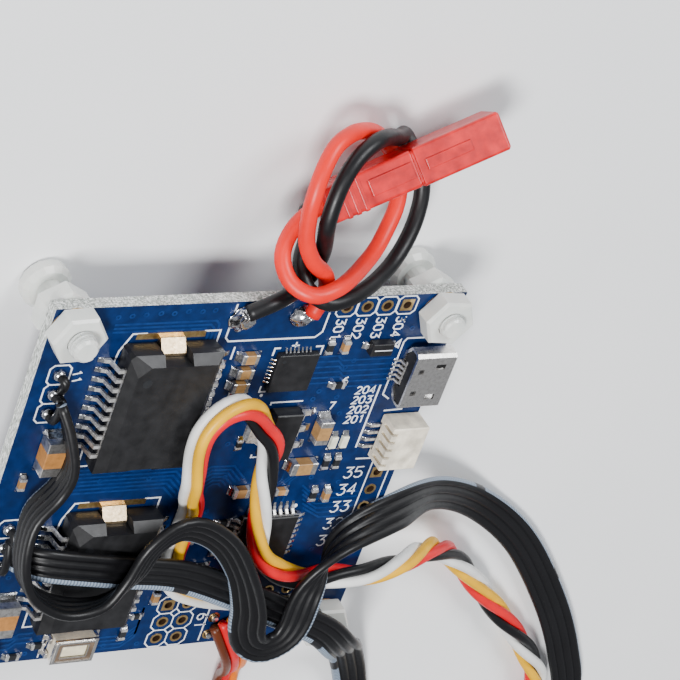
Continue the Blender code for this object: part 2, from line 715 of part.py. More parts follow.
BLACK_ROUTE = [
    (-2.9, 24.2, 9.3),
    (-0.4, 25.5, 9.4),
    (2.2, 26.1, 8.5),
    (4.3, 27.7, 7.6),
    (4.8, 30.4, 7.6),
    (3.9, 32.9, 8.5),
    (2.8, 35.4, 9.4),
    (2.8, 38.2, 9.1),
    (3.6, 40.8, 8.3),
    (5.2, 42.9, 7.3),
    (7.6, 44.0, 6.2),
    (10.0, 43.5, 4.8),
    (12.2, 42.4, 3.4),
    (14.2, 41.5, 1.6),
    (16.1, 39.5, 1.0),
    (17.8, 37.3, 1.6),
    (18.3, 34.8, 2.8),
    (17.8, 32.3, 4.1),
    (16.6, 30.1, 5.4),
    (14.8, 28.4, 6.8),
    (12.6, 27.6, 8.3),
    (10.2, 27.3, 9.8),
    (7.6, 27.1, 11.0),
    (4.8, 26.9, 11.3),
    (2.8, 27.8, 9.8),
    (2.4, 29.7, 7.8),
    (3.0, 32.1, 6.4),
    (3.1, 33.9, 4.7),
    (5.6, 35.3, 4.7),
]
MOTOR_NORTH_ROUTE = [
    (-21.8, 13.7, 9.1),
    (-20.6, 11.0, 10.4),
    (-19.5, 7.0, 11.5),
    (-20.0, 3.5, 11.5),
    (-22.3, 0.5, 12.0),
    (-22.8, -3.0, 12.8),
    (-22.2, -6.5, 13.3),
    (-20.2, -9.6, 13.6),
    (-16.2, -11.7, 13.9),
    (-11.7, -11.3, 14.2),
    (-9.0, -8.0, 14.3),
    (-7.5, -3.5, 14.3),
    (-4.0, -1.5, 14.0),
    (1.0, -4.0, 14.0),
    (5.0, -9.0, 14.2),
    (7.4, -14.0, 14.4),
    (8.1, -17.2, 14.6),
    (9.2, -19.3, 14.7),
    (11.2, -20.3, 14.7),
    (13.3, -19.5, 14.7),
    (14.4, -17.3, 14.6),
    (15.0, -12.0, 14.1),
    (18.5, -7.0, 12.2),
    (26.5, -5.5, 9.6),
    (35.5, -8.0, 4.6),
    (45.5, -13.5, 1.2),
    (54.5, -20.5, 0.9),
    (63.5, -31.5, 0.9),
    (69.5, -41.0, 0.9),
    (73.0, -49.0, 0.9),
    (71.5, -56.0, 0.9),
    (65.0, -60.0, 0.9),
    (60.0, -60.5, 0.9),
]
MOTOR_SOUTH_ROUTE = [
    (-21.8, -7.4, 9.1),
    (-20.6, -7.2, 10.8),
    (-17.8, -7.0, 12.3),
    (-9.5, -8.5, 12.5),
    (-1.5, -10.0, 12.5),
    (7.0, -13.8, 12.4),
    (13.5, -17.0, 12.7),
    (19.8, -20.2, 13.0),
    (24.0, -24.0, 12.2),
    (27.8, -28.1, 9.0),
    (30.3, -31.0, 5.8),
    (33.6, -35.0, 2.6),
    (37.4, -41.5, 0.9),
    (39.5, -48.0, 0.9),
    (37.0, -54.0, 0.9),
    (30.5, -55.5, 0.9),
]
SENSOR_ROUTE = [
    (9.2, -16.8, 9.9),
    (3.5, -15.4, 9.9),
    (-0.4, -13.2, 9.9),
    (-1.7, -9.0, 9.9),
    (-1.8, -2.5, 10.2),
    (-3.8, 1.5, 12.0),
    (-5.2, 5.0, 13.5),
    (-6.0, 9.0, 13.5),
    (-5.9, 11.9, 13.5),
    (-4.6, 14.0, 13.4),
    (-2.4, 14.5, 13.0),
    (-0.2, 13.4, 12.5),
    (2.0, 10.8, 12.1),
    (4.0, 8.0, 12.0),
    (5.2, 2.5, 11.6),
    (8.0, -7.5, 11.4),
    (11.5, -11.5, 11.3),
    (16.0, -13.8, 10.6),
    (20.5, -14.6, 9.9),
    (25.5, -14.6, 10.2),
    (31.0, -14.8, 8.6),
    (37.0, -16.2, 5.4),
    (43.5, -20.4, 2.4),
    (51.0, -27.5, 1.5),
    (60.5, -37.0, 1.5),
    (66.0, -44.0, 1.5),
    (66.2, -48.6, 1.5),
    (61.8, -51.2, 1.5),
    (56.0, -51.3, 1.5),
]
REMOTE_ROUTE = [
    (9.0, -21.4, 9.1),
    (10.6, -24.0, 9.2),
    (13.0, -27.8, 8.4),
    (15.8, -32.5, 5.4),
    (18.0, -37.0, 2.0),
    (19.0, -42.5, 0.9),
    (16.0, -47.5, 0.9),
    (10.5, -48.8, 0.9),
]


def make_leads():
    wire_spacing = 2.6
    round_lead("power_wire_red", RED_ROUTE, WIRE_RADIUS, wire_spacing, RED_SILICONE)
    round_lead("power_wire_black", BLACK_ROUTE, WIRE_RADIUS, wire_spacing, BLACK_SILICONE)
    flat_lead("motor_lead_north", MOTOR_NORTH_ROUTE, 4, 2.8, FLAT_LEAD_BLACK)
    flat_lead("motor_lead_south", MOTOR_SOUTH_ROUTE, 4, 2.8, FLAT_LEAD_BLACK)
    flat_lead("remote_lead", REMOTE_ROUTE, 3, 2.8, BROWN_SHEATH)
    round_lead("sensor_lead", SENSOR_ROUTE, SENSOR_LEAD_RADIUS, 4.0, SENSOR_SHEATH)


def make_lead_plugs():
    """Plugs at the far ends of the leads, each just past the lead's last point and pointing west."""
    plugs = (
        ("motor_plug_north", MOTOR_NORTH_ROUTE, 14.0, 5.1, 2.6, BLACK_RESIN),
        ("motor_plug_south", MOTOR_SOUTH_ROUTE, 14.0, 5.1, 2.6, BLACK_RESIN),
        ("remote_plug", REMOTE_ROUTE, 14.0, 3.8, 2.6, BLACK_RESIN),
        ("sensor_plug", SENSOR_ROUTE, 5.0, 2.5, 3.0, BEIGE_PLASTIC),
    )
    for name, route, length, half_width, height, finish in plugs:
        x, y = route[-1][0] - 0.3, route[-1][1]
        low = (x - length, y - half_width, GAP)
        blocks(name, [(low, (x, y + half_width, GAP + height))], finish, 0.2)


make_board()
make_hardware()
for driver_place, driver_middle in DRIVER_PLACES.items():
    make_driver(driver_place, driver_middle)
make_processor()
make_regulator()
make_usb_socket()
make_sensor_socket()
make_reset_button()
make_small_parts()
make_solder_joints()
make_power_plug()
make_leads()
make_lead_plugs()
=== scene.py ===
"""Looks of the gimbal controller board: cords, printed marks, solder, threads and materials.

Lengths are in millimetres in the part's frame, and MM turns them into metres.
"""

import math

import bmesh
import bpy
import numpy as np
from mathutils import Matrix, Vector, noise


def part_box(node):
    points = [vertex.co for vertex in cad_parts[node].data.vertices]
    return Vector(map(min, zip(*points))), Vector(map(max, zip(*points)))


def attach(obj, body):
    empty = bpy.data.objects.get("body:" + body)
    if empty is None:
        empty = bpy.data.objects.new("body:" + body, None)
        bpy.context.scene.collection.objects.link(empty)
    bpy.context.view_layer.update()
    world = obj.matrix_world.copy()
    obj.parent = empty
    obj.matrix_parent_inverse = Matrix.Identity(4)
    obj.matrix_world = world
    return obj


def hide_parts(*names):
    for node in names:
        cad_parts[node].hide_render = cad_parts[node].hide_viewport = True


MM = 0.001
BODY = "board"
TOP = 8.2  # the board's upper face
PIN = 2.54  # pitch of the plated holes
LOW = 6.6  # the board's lower face

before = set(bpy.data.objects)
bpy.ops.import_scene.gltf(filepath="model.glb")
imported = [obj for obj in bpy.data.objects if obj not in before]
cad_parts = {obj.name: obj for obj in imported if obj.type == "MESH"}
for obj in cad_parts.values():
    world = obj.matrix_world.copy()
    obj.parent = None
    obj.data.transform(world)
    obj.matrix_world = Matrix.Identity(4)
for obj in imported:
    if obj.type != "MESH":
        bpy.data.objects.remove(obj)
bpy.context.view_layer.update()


# ---------------------------------------------------------------- camera
def make_camera():
    data = bpy.data.cameras.new("camera")
    data.lens = 176.7
    data.sensor_width = 36.0
    data.clip_start = 0.01
    camera = bpy.data.objects.new("camera", data)
    right = Vector((0.84881, 0.30172, 0.43415))
    up = Vector((0.04244, 0.77963, -0.62480))
    right = right.normalized()
    back = right.cross(up).normalized()
    up = back.cross(right)
    turn = Matrix((right, up, back)).transposed().to_4x4()
    camera.matrix_world = Matrix.Translation(Vector((-178.14, 215.82, 240.83)) * MM) @ turn
    bpy.context.scene.collection.objects.link(camera)
    bpy.context.scene.camera = camera


make_camera()


# ---------------------------------------------------------------- materials
class Finish:
    """A node-based material under construction."""

    def __init__(self, name, color, roughness, metallic=0.0):
        self.material = bpy.data.materials.new(name)
        self.material.use_nodes = True
        self.tree = self.material.node_tree
        self.shader = self.tree.nodes["Principled BSDF"]
        self.set("Base Color", (*color, 1.0))
        self.set("Roughness", roughness)
        self.set("Metallic", metallic)
        self.material.diffuse_color = (*color, 1.0)
        self.height = None

    def set(self, socket, value):
        self.shader.inputs[socket].default_value = value

    def node(self, kind, **settings):
        made = self.tree.nodes.new(kind)
        for key, value in settings.items():
            setattr(made, key, value)
        return made

    def link(self, source, target):
        self.tree.links.new(source, target)

    def place(self, scale=(1, 1, 1)):
        """Object coordinates in metres, stretched by scale."""
        coordinates = self.node("ShaderNodeTexCoord")
        mapping = self.node("ShaderNodeMapping")
        mapping.inputs["Scale"].default_value = scale
        self.link(coordinates.outputs["Object"], mapping.inputs["Vector"])
        return mapping.outputs["Vector"]

    def noise(self, scale, detail=3.0, stretch=(1, 1, 1), rough=0.5):
        made = self.node("ShaderNodeTexNoise")
        made.inputs["Scale"].default_value = scale
        made.inputs["Detail"].default_value = detail
        made.inputs["Roughness"].default_value = rough
        self.link(self.place(stretch), made.inputs["Vector"])
        return made.outputs["Fac"]

    def ramp(self, value, stops, constant=False):
        made = self.node("ShaderNodeValToRGB")
        if constant:
            made.color_ramp.interpolation = "CONSTANT"
        while len(made.color_ramp.elements) < len(stops):
            made.color_ramp.elements.new(0.5)
        for element, (where, color) in zip(made.color_ramp.elements, stops):
            element.position = where
            element.color = (*color, 1.0)
        self.link(value, made.inputs["Fac"])
        return made.outputs["Color"]

    def math(self, operation, a, b):
        made = self.node("ShaderNodeMath", operation=operation)
        for socket, value in zip(made.inputs, (a, b)):
            if isinstance(value, (int, float)):
                socket.default_value = value
            else:
                self.link(value, socket)
        return made.outputs[0]

    def mix(self, factor, a, b):
        made = self.node("ShaderNodeMix", data_type="RGBA")
        for socket, value in zip((made.inputs[6], made.inputs[7]), (a, b)):
            if isinstance(value, tuple):
                socket.default_value = (*value, 1.0)
            else:
                self.link(value, socket)
        self.link(factor, made.inputs[0])
        return made.outputs[2]

    def color(self, source):
        self.link(source, self.shader.inputs["Base Color"])

    def roughen(self, source, low, high):
        made = self.node("ShaderNodeMapRange")
        made.inputs["To Min"].default_value = low
        made.inputs["To Max"].default_value = high
        self.link(source, made.inputs["Value"])
        self.link(made.outputs["Result"], self.shader.inputs["Roughness"])

    def bump(self, source, strength, depth=0.00005):
        made = self.node("ShaderNodeBump")
        made.inputs["Strength"].default_value = strength
        made.inputs["Distance"].default_value = depth
        self.link(source, made.inputs["Height"])
        if self.height:
            self.link(self.height, made.inputs["Normal"])
        self.height = made.outputs["Normal"]
        self.link(self.height, self.shader.inputs["Normal"])


def up_facing(finish, limit=0.6):
    """1 on faces that look up or down, 0 on edges."""
    geometry = finish.node("ShaderNodeNewGeometry")
    split = finish.node("ShaderNodeSeparateXYZ")
    finish.link(geometry.outputs["True Normal"], split.inputs[0])
    upward = finish.math("ABSOLUTE", split.outputs["Z"], 0)
    return finish.math("GREATER_THAN", upward, limit)


def solder_mask():
    made = Finish("solder_mask", (0.006, 0.03, 0.16), 0.32)
    patchy = made.noise(900, 4)
    blue = made.ramp(patchy, [(0.3, (0.0015, 0.011, 0.055)), (0.7, (0.003, 0.019, 0.09))])
    weave = made.noise(5200, 2, (1.0, 0.25, 1.0), 0.7)
    glass = made.ramp(
        weave, [(0.35, (0.17, 0.19, 0.17)), (0.5, (0.45, 0.47, 0.44)), (0.62, (0.85, 0.86, 0.84))]
    )
    made.color(made.mix(up_facing(made), glass, blue))
    made.set("Specular IOR Level", 0.3)
    made.bump(made.noise(2600, 3), 0.12, 0.00002)
    return made.material


def trace_mask():
    made = Finish("mask_over_copper", (0.012, 0.06, 0.27), 0.3)
    shade = made.noise(1500, 3)
    made.color(made.ramp(shade, [(0.3, (0.003, 0.02, 0.095)), (0.7, (0.006, 0.034, 0.14))]))
    made.set("Specular IOR Level", 0.3)
    made.bump(made.noise(2600, 3), 0.12, 0.00002)
    return made.material


def printed_white():
    made = Finish("printed_white", (0.82, 0.84, 0.86), 0.55)
    worn = made.noise(6000, 3)
    made.color(made.ramp(worn, [(0.3, (0.62, 0.66, 0.72)), (0.55, (0.85, 0.86, 0.88))]))
    return made.material


def gold_plate():
    made = Finish("gold_plate", (0.9, 0.6, 0.24), 0.28, 1.0)
    shade = made.noise(2500, 3)
    made.color(made.ramp(shade, [(0.3, (0.75, 0.46, 0.16)), (0.7, (0.98, 0.72, 0.34))]))
    made.bump(made.noise(7000, 2), 0.2, 0.00002)
    return made.material


def tinned(name, dark, light, roughness, metallic=1.0):
    made = Finish(name, light, roughness, metallic)
    shade = made.noise(2600, 4)
    made.color(made.ramp(shade, [(0.3, dark), (0.65, light)]))
    made.roughen(made.noise(4200, 3), roughness * 0.6, roughness * 1.5)
    made.bump(made.noise(1500, 2), 0.15, 0.00004)
    return made.material


def moulded(name, color, roughness, grain=9000, depth=0.00001, coat=0.0, gloss=0.5):
    made = Finish(name, color, roughness)
    made.set("Specular IOR Level", gloss)
    light = tuple(min(1.0, c * 1.35 + 0.004) for c in color)
    dark = tuple(c * 0.75 for c in color)
    made.color(made.ramp(made.noise(700, 4), [(0.3, dark), (0.7, light)]))
    made.roughen(made.noise(1200, 3), roughness * 0.8, min(1.0, roughness * 1.25))
    made.bump(made.noise(grain, 3), 0.35, depth)
    made.set("Coat Weight", coat)
    made.set("Coat Roughness", 0.2)
    return made.material


def nylon():
    made = Finish("nylon", (0.86, 0.87, 0.85), 0.38)
    made.color(made.ramp(made.noise(350, 3), [(0.3, (0.6, 0.63, 0.6)), (0.7, (0.74, 0.74, 0.7))]))
    made.set("Subsurface Weight", 0.25)
    made.set("Subsurface Radius", (1.0, 0.9, 0.8))
    made.set("Subsurface Scale", 0.0016)
    made.set("Coat Weight", 0.5)
    made.set("Coat Roughness", 0.12)
    made.bump(made.noise(900, 4), 0.3, 0.00008)
    return made.material


def capacitor(name, axis, share, clay):
    """Ceramic body with tinned ends. share is the length of each end along the axis, 0 to 1."""
    made = Finish(name, clay, 0.4)
    coordinates = made.node("ShaderNodeTexCoord")
    split = made.node("ShaderNodeSeparateXYZ")
    made.link(coordinates.outputs["Generated"], split.inputs[0])
    along = made.math("ABSOLUTE", made.math("SUBTRACT", split.outputs[axis], 0.5), 0)
    end = made.math("GREATER_THAN", along, 0.5 - share)
    dark = tuple(c * 0.7 for c in clay)
    body = made.ramp(made.noise(1800, 4), [(0.3, dark), (0.7, clay)])
    metal = made.ramp(made.noise(2600, 4), [(0.3, (0.5, 0.48, 0.45)), (0.6, (0.85, 0.83, 0.8))])
    made.color(made.mix(end, body, metal))
    made.link(end, made.shader.inputs["Metallic"])
    made.bump(made.noise(4000, 3), 0.4, 0.00003)
    return made.material


def silicone(name, color):
    made = Finish(name, color, 0.36)
    dark = tuple(c * 0.8 for c in color)
    made.color(made.ramp(made.noise(240, 4), [(0.3, dark), (0.65, color)]))
    made.roughen(made.noise(1500, 4), 0.3, 0.5)
    made.bump(made.noise(2400, 4), 0.3, 0.00003)
    made.set("Specular IOR Level", 0.35)
    return made.material


def striped_core():
    """The marked core of a flat lead: a blue-grey stripe with painted shade and highlight in bands for its
    ribs, broken by short black dashes.
    """
    made = Finish("marked_core", (0.3, 0.36, 0.42), 0.45)
    uv = made.node("ShaderNodeUVMap", uv_map="along")
    split = made.node("ShaderNodeSeparateXYZ")
    made.link(uv.outputs["UV"], split.inputs[0])
    along = split.outputs["X"]
    # Light and dark bands every 0.42 mm along the core: painted shade and highlight standing for its ribs,
    # which the mesh does not have.
    turn = made.math("MULTIPLY", along, 2 * math.pi / 0.42)
    ribs = made.math("SINE", turn, 0)
    painted_rib_shading = made.ramp(
        made.math("ADD", made.math("MULTIPLY", ribs, 0.5), 0.5),
        [(0.2, (0.1, 0.13, 0.18)), (0.7, (0.26, 0.32, 0.4))],
    )
    phase = made.math("FRACT", made.math("DIVIDE", along, 24.0), 0)
    dash = made.math("GREATER_THAN", phase, 0.9)
    made.color(made.mix(dash, painted_rib_shading, (0.01, 0.01, 0.012)))
    made.bump(made.noise(3000, 3), 0.2, 0.00003)
    return made.material


MASK = solder_mask()
TRACE = trace_mask()
SILK = printed_white()
GOLD = gold_plate()
TIN = tinned("tinned_leads", (0.5, 0.49, 0.47), (0.95, 0.93, 0.9), 0.28, 0.75)
SOLDER = tinned("bright_solder", (0.4, 0.4, 0.41), (0.92, 0.92, 0.93), 0.16)
STEEL = tinned("socket_steel", (0.72, 0.7, 0.67), (0.9, 0.88, 0.85), 0.3)
COPPER_SLUG = tinned("slug_metal", (0.4, 0.29, 0.16), (0.68, 0.52, 0.33), 0.3)
RESIN = moulded("chip_resin", (0.01, 0.01, 0.011), 0.4, 8000, 0.00002, 0.05, 0.35)
HOLE_WALL = moulded("hole_wall", (0.035, 0.016, 0.006), 0.5)
# Dark brown for painted shade: the ring round the reset key stands for the shade in its recess.
PAINTED_RECESS_SHADE = moulded("painted_recess_shade", (0.11, 0.075, 0.05), 0.3)
RESISTOR_FACE = moulded("resistor_face", (0.012, 0.013, 0.015), 0.35)
NYLON = nylon()
BEIGE = moulded("socket_beige", (0.74, 0.67, 0.54), 0.45, 5000, 0.00002, 0.1)
KEY_BEIGE = moulded("key_beige", (0.68, 0.6, 0.42), 0.5, 5000, 0.00002)
CLAY_X = capacitor("capacitor_east_west", "X", 0.22, (0.4, 0.22, 0.08))
CLAY_Y = capacitor("capacitor_north_south", "Y", 0.22, (0.4, 0.22, 0.08))
BIG_CLAY = capacitor("motor_capacitor_clay", "Y", 0.27, (0.5, 0.22, 0.06))
LAMP = moulded("lamp_lens", (0.75, 0.76, 0.6), 0.2, 3000, 0.00003, 0.6)
BROWN = moulded("small_ceramic", (0.36, 0.19, 0.07), 0.45)
RED_PLASTIC = moulded("plug_red", (0.5, 0.001, 0.004), 0.32, 1600, 0.00002, 0.15)
RED_SILICONE = silicone("silicone_red", (0.82, 0.012, 0.006))
BLACK_SILICONE = silicone("silicone_black", (0.006, 0.006, 0.007))
FLAT_BLACK = silicone("flat_lead_black", (0.005, 0.005, 0.006))
MARKED = striped_core()
STRAND_WHITE = silicone("strand_white", (0.82, 0.82, 0.8))
STRAND_YELLOW = silicone("strand_yellow", (0.84, 0.44, 0.0))
STRAND_RED = silicone("strand_red", (0.72, 0.006, 0.014))
STRAND_BLACK = silicone("strand_black", (0.005, 0.005, 0.006))
STRAND_BROWN = silicone("strand_brown", (0.12, 0.025, 0.006))
STRAND_ORANGE = silicone("strand_orange", (0.85, 0.19, 0.004))


# ---------------------------------------------------------------- mesh helpers
def new_piece(name, mesh, finishes, smooth=False, bevel=0.0, body=BODY):
    bmesh.ops.recalc_face_normals(mesh, faces=mesh.faces)
    data = bpy.data.meshes.new(name)
    mesh.to_mesh(data)
    mesh.free()
    for finish in finishes:
        data.materials.append(finish)
    if smooth:
        data.polygons.foreach_set("use_smooth", [True] * len(data.polygons))
    made = bpy.data.objects.new(name, data)
    bpy.context.scene.collection.objects.link(made)
    if bevel:
        add_bevel(made, bevel)
    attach(made, body)
    return made


def add_bevel(made, width, segments=2):
    step = made.modifiers.new("edge", "BEVEL")
    step.width = width * MM
    step.segments = segments
    step.limit_method = "ANGLE"
    step.angle_limit = math.radians(28)
    step.harden_normals = False


def put_loop(mesh, points):
    return [mesh.verts.new(Vector(p) * MM) for p in points]


def bridge(mesh, a, b, finish=0):
    for k in range(len(a)):
        n = (k + 1) % len(a)
        face = mesh.faces.new((a[k], a[n], b[n], b[k]))
        face.material_index = finish


def put_prism(mesh, outline, low, high, finish=0):
    """A flat outline of (x, y) pushed up from low to high."""
    a = put_loop(mesh, [(x, y, low) for x, y in outline])
    b = put_loop(mesh, [(x, y, high) for x, y in outline])
    bridge(mesh, a, b, finish)
    for cap in (a, b):
        mesh.faces.new(cap).material_index = finish


def put_box(mesh, low, high, finish=0):
    (a, b, c), (d, e, f) = low, high
    put_prism(mesh, [(a, b), (d, b), (d, e), (a, e)], c, f, finish)


def offset_line(points, width, closed):
    """Left and right edges of a line of that width, mitred at its corners."""
    points = [Vector(p) for p in points]
    count = len(points)
    left, right = [], []
    for k, point in enumerate(points):
        before = points[(k - 1) % count] if closed or k else None
        after = points[(k + 1) % count] if closed or k < count - 1 else None
        headings = []
        if before is not None:
            headings.append((point - before).normalized())
        if after is not None:
            headings.append((after - point).normalized())
        normals = [Vector((-h.y, h.x)) for h in headings]
        mitre = sum(normals, Vector((0, 0)))
        mitre = mitre.normalized()
        reach = width / 2 / max(0.5, mitre.dot(normals[0]))
        left.append(point + mitre * reach)
        right.append(point - mitre * reach)
    return left, right


def put_line(mesh, points, width, low, high, closed=False, finish=0):
    """A raised line with a rectangular section."""
    left, right = offset_line(points, width, closed)
    rings = []
    for a, b in zip(left, right):
        rings.append(put_loop(mesh, [(*a, low), (*b, low), (*b, high), (*a, high)]))
    pairs = list(zip(rings, rings[1:]))
    if closed:
        pairs.append((rings[-1], rings[0]))
    for a, b in pairs:
        bridge(mesh, a, b, finish)
    if not closed:
        for cap in (rings[0], rings[-1]):
            mesh.faces.new(cap).material_index = finish


def circle(middle, radius, steps, turn=0.0):
    return [
        (
            middle[0] + radius * math.cos(turn + 2 * math.pi * k / steps),
            middle[1] + radius * math.sin(turn + 2 * math.pi * k / steps),
        )
        for k in range(steps)
    ]


def put_annulus(mesh, outer, inner, low, high, finish=0):
    """A flat ring between two outlines with the same number of points."""
    loops = [put_loop(mesh, [(x, y, z) for x, y in line]) for line in (outer, inner) for z in (low, high)]
    outer_low, outer_high, inner_low, inner_high = loops
    bridge(mesh, outer_low, outer_high, finish)
    bridge(mesh, inner_low, inner_high, finish)
    bridge(mesh, outer_low, inner_low, finish)
    bridge(mesh, outer_high, inner_high, finish)


# ---------------------------------------------------------------- cords
RED_ROUTE = [
    (5.1, 23.7, 9.3), (5.7, 26.5, 9.3), (4.8, 29.1, 9.5), (2.6, 31.0, 9.6), (1.1, 33.4, 9.3),
    (0.5, 36.2, 9.0), (0.4, 39.0, 8.7), (1.1, 41.6, 7.7), (2.6, 43.6, 6.4), (5.0, 44.2, 5.1),
    (7.5, 43.6, 3.8), (9.7, 42.4, 2.5), (11.8, 40.8, 1.4), (13.8, 38.9, 1.3), (15.0, 36.6, 2.4),
    (14.8, 34.1, 3.9), (13.6, 31.9, 5.3), (11.9, 30.3, 6.9), (9.7, 29.5, 8.6), (7.5, 29.3, 10.3),
    (5.0, 29.1, 11.8), (2.3, 28.5, 12.0), (0.2, 29.0, 10.3), (-0.5, 30.9, 8.3), (0.4, 33.3, 7.1),
    (2.3, 35.3, 6.6), (4.9, 36.6, 6.6),
]
BLACK_ROUTE = [
    (-2.9, 24.2, 9.3), (-0.4, 25.5, 9.4), (2.2, 26.1, 8.5), (4.3, 27.7, 7.6), (4.8, 30.4, 7.6),
    (3.9, 32.9, 8.5), (2.8, 35.4, 9.4), (2.8, 38.2, 9.1), (3.6, 40.8, 8.3), (5.2, 42.9, 7.3),
    (7.6, 44.0, 6.2), (10.0, 43.5, 4.8), (12.2, 42.4, 3.4), (14.2, 41.5, 1.6), (16.1, 39.5, 1.0),
    (17.8, 37.3, 1.6), (18.3, 34.8, 2.8), (17.8, 32.3, 4.1), (16.6, 30.1, 5.4), (14.8, 28.4, 6.8),
    (12.6, 27.6, 8.3), (10.2, 27.3, 9.8), (7.6, 27.1, 11.0), (4.8, 26.9, 11.3), (2.8, 27.8, 9.8),
    (2.4, 29.7, 7.8), (3.0, 32.1, 6.4), (3.1, 33.9, 4.7), (5.6, 35.3, 4.7),
]
MOTOR_NORTH_ROUTE = [
    (-21.8, 13.7, 9.1), (-20.6, 11.0, 10.4), (-19.5, 7.0, 11.5), (-20.0, 3.5, 11.5),
    (-22.3, 0.5, 12.0), (-22.8, -3.0, 12.8), (-22.2, -6.5, 13.3), (-20.2, -9.6, 13.6),
    (-16.2, -11.7, 13.9), (-11.7, -11.3, 14.2), (-9.0, -8.0, 14.3), (-7.5, -3.5, 14.3),
    (-4.0, -1.5, 14.0), (1.0, -4.0, 14.0), (5.0, -9.0, 14.2), (7.4, -14.0, 14.4),
    (8.1, -17.2, 14.6), (9.2, -19.3, 14.7), (11.2, -20.3, 14.7), (13.3, -19.5, 14.7),
    (14.4, -17.3, 14.6), (15.0, -12.0, 14.1), (18.5, -7.0, 12.2), (26.5, -5.5, 9.6),
    (35.5, -8.0, 4.6), (45.5, -13.5, 1.2), (54.5, -20.5, 0.9), (63.5, -31.5, 0.9),
    (69.5, -41.0, 0.9), (73.0, -49.0, 0.9), (71.5, -56.0, 0.9), (65.0, -60.0, 0.9),
    (60.0, -60.5, 0.9),
]
MOTOR_SOUTH_ROUTE = [
    (-21.8, -7.4, 9.1), (-20.6, -7.2, 10.8), (-17.8, -7.0, 12.3), (-9.5, -8.5, 12.5),
    (-1.5, -10.0, 12.5), (7.0, -13.8, 12.4), (13.5, -17.0, 12.7), (19.8, -20.2, 13.0),
    (24.0, -24.0, 12.2), (27.8, -28.1, 9.0), (30.3, -31.0, 5.8), (33.6, -35.0, 2.6),
    (37.4, -41.5, 0.9), (39.5, -48.0, 0.9), (37.0, -54.0, 0.9), (30.5, -55.5, 0.9),
]
SENSOR_ROUTE = [
    (9.2, -16.8, 9.9), (3.5, -15.4, 9.9), (-0.4, -13.2, 9.9), (-1.7, -9.0, 9.9), (-1.8, -2.5, 10.2),
    (-3.8, 1.5, 12.0), (-5.2, 5.0, 13.5), (-6.0, 9.0, 13.5), (-5.9, 11.9, 13.5), (-4.6, 14.0, 13.4),
    (-2.4, 14.5, 13.0), (-0.2, 13.4, 12.5), (2.0, 10.8, 12.1), (4.0, 8.0, 12.0), (5.2, 2.5, 11.6),
    (8.0, -7.5, 11.4), (11.5, -11.5, 11.3), (16.0, -13.8, 10.6), (20.5, -14.6, 9.9),
    (25.5, -14.6, 10.2), (31.0, -14.8, 8.6), (37.0, -16.2, 5.4), (43.5, -20.4, 2.4),
    (51.0, -27.5, 1.5), (60.5, -37.0, 1.5), (66.0, -44.0, 1.5), (66.2, -48.6, 1.5),
    (61.8, -51.2, 1.5), (56.0, -51.3, 1.5),
]
REMOTE_ROUTE = [
    (9.0, -21.4, 9.1), (10.6, -24.0, 9.2), (13.0, -27.8, 8.4), (15.8, -32.5, 5.4),
    (18.0, -37.0, 2.0), (19.0, -42.5, 0.9), (16.0, -47.5, 0.9), (10.5, -48.8, 0.9),
]
PLUG_CENTRE = (13.2, 40.1, 5.65)
PLUG_HEADING = 27.6
PLUG_ROLL = 38.0


def smooth_path(route, spacing):
    """Points at even spacing along a smooth curve. A route can hold a roll too, as another column."""
    route = np.array(route, float)
    padded = np.vstack([2 * route[0] - route[1], route, 2 * route[-1] - route[-2]])
    fine = []
    for a, b, c, d in zip(padded, padded[1:], padded[2:], padded[3:]):
        for t in np.linspace(0, 1, 20, endpoint=False):
            linear = (c - a) * t
            square = (2 * a - 5 * b + 4 * c - d) * t**2
            cubic = (3 * b - a - 3 * c + d) * t**3
            fine.append((2 * b + linear + square + cubic) / 2)
    fine = np.array([*fine, route[-1]])
    steps = np.linalg.norm(np.diff(fine[:, :3], axis=0), axis=1)
    along = np.concatenate([[0], np.cumsum(steps)])
    stops = np.linspace(0, along[-1], max(2, round(along[-1] / spacing) + 1))
    return np.stack([np.interp(stops, along, fine[:, k]) for k in range(fine.shape[1])], axis=1)


def path_length(points):
    return float(np.linalg.norm(np.diff(points[:, :3], axis=0), axis=1).sum())


def carried_frames(points):
    """Two crosswise directions at each point, carried along without twist."""
    heading = np.gradient(points, axis=0)
    heading /= np.linalg.norm(heading, axis=1)[:, None]
    side = np.cross(heading[0], (0, 0, 1.0))
    if np.linalg.norm(side) < 0.1:
        side = np.cross(heading[0], (0, 1.0, 0))
    sides = []
    for step in heading:
        side = side - step * side.dot(step)
        side = side / np.linalg.norm(side)
        sides.append(side)
    sides = np.array(sides)
    return sides, np.cross(heading, sides)


def flat_frames(points, roll):
    """Across and upright directions of a flat lead, turned about its length by roll degrees."""
    heading = np.gradient(points, axis=0)
    heading /= np.linalg.norm(heading, axis=1)[:, None]
    across = np.stack([-heading[:, 1], heading[:, 0], np.zeros(len(points))], axis=1)
    across /= np.linalg.norm(across, axis=1)[:, None]
    upright = np.cross(heading, across)
    turn = np.radians(roll)[:, None]
    return (
        across * np.cos(turn) + upright * np.sin(turn),
        upright * np.cos(turn) - across * np.sin(turn),
    )


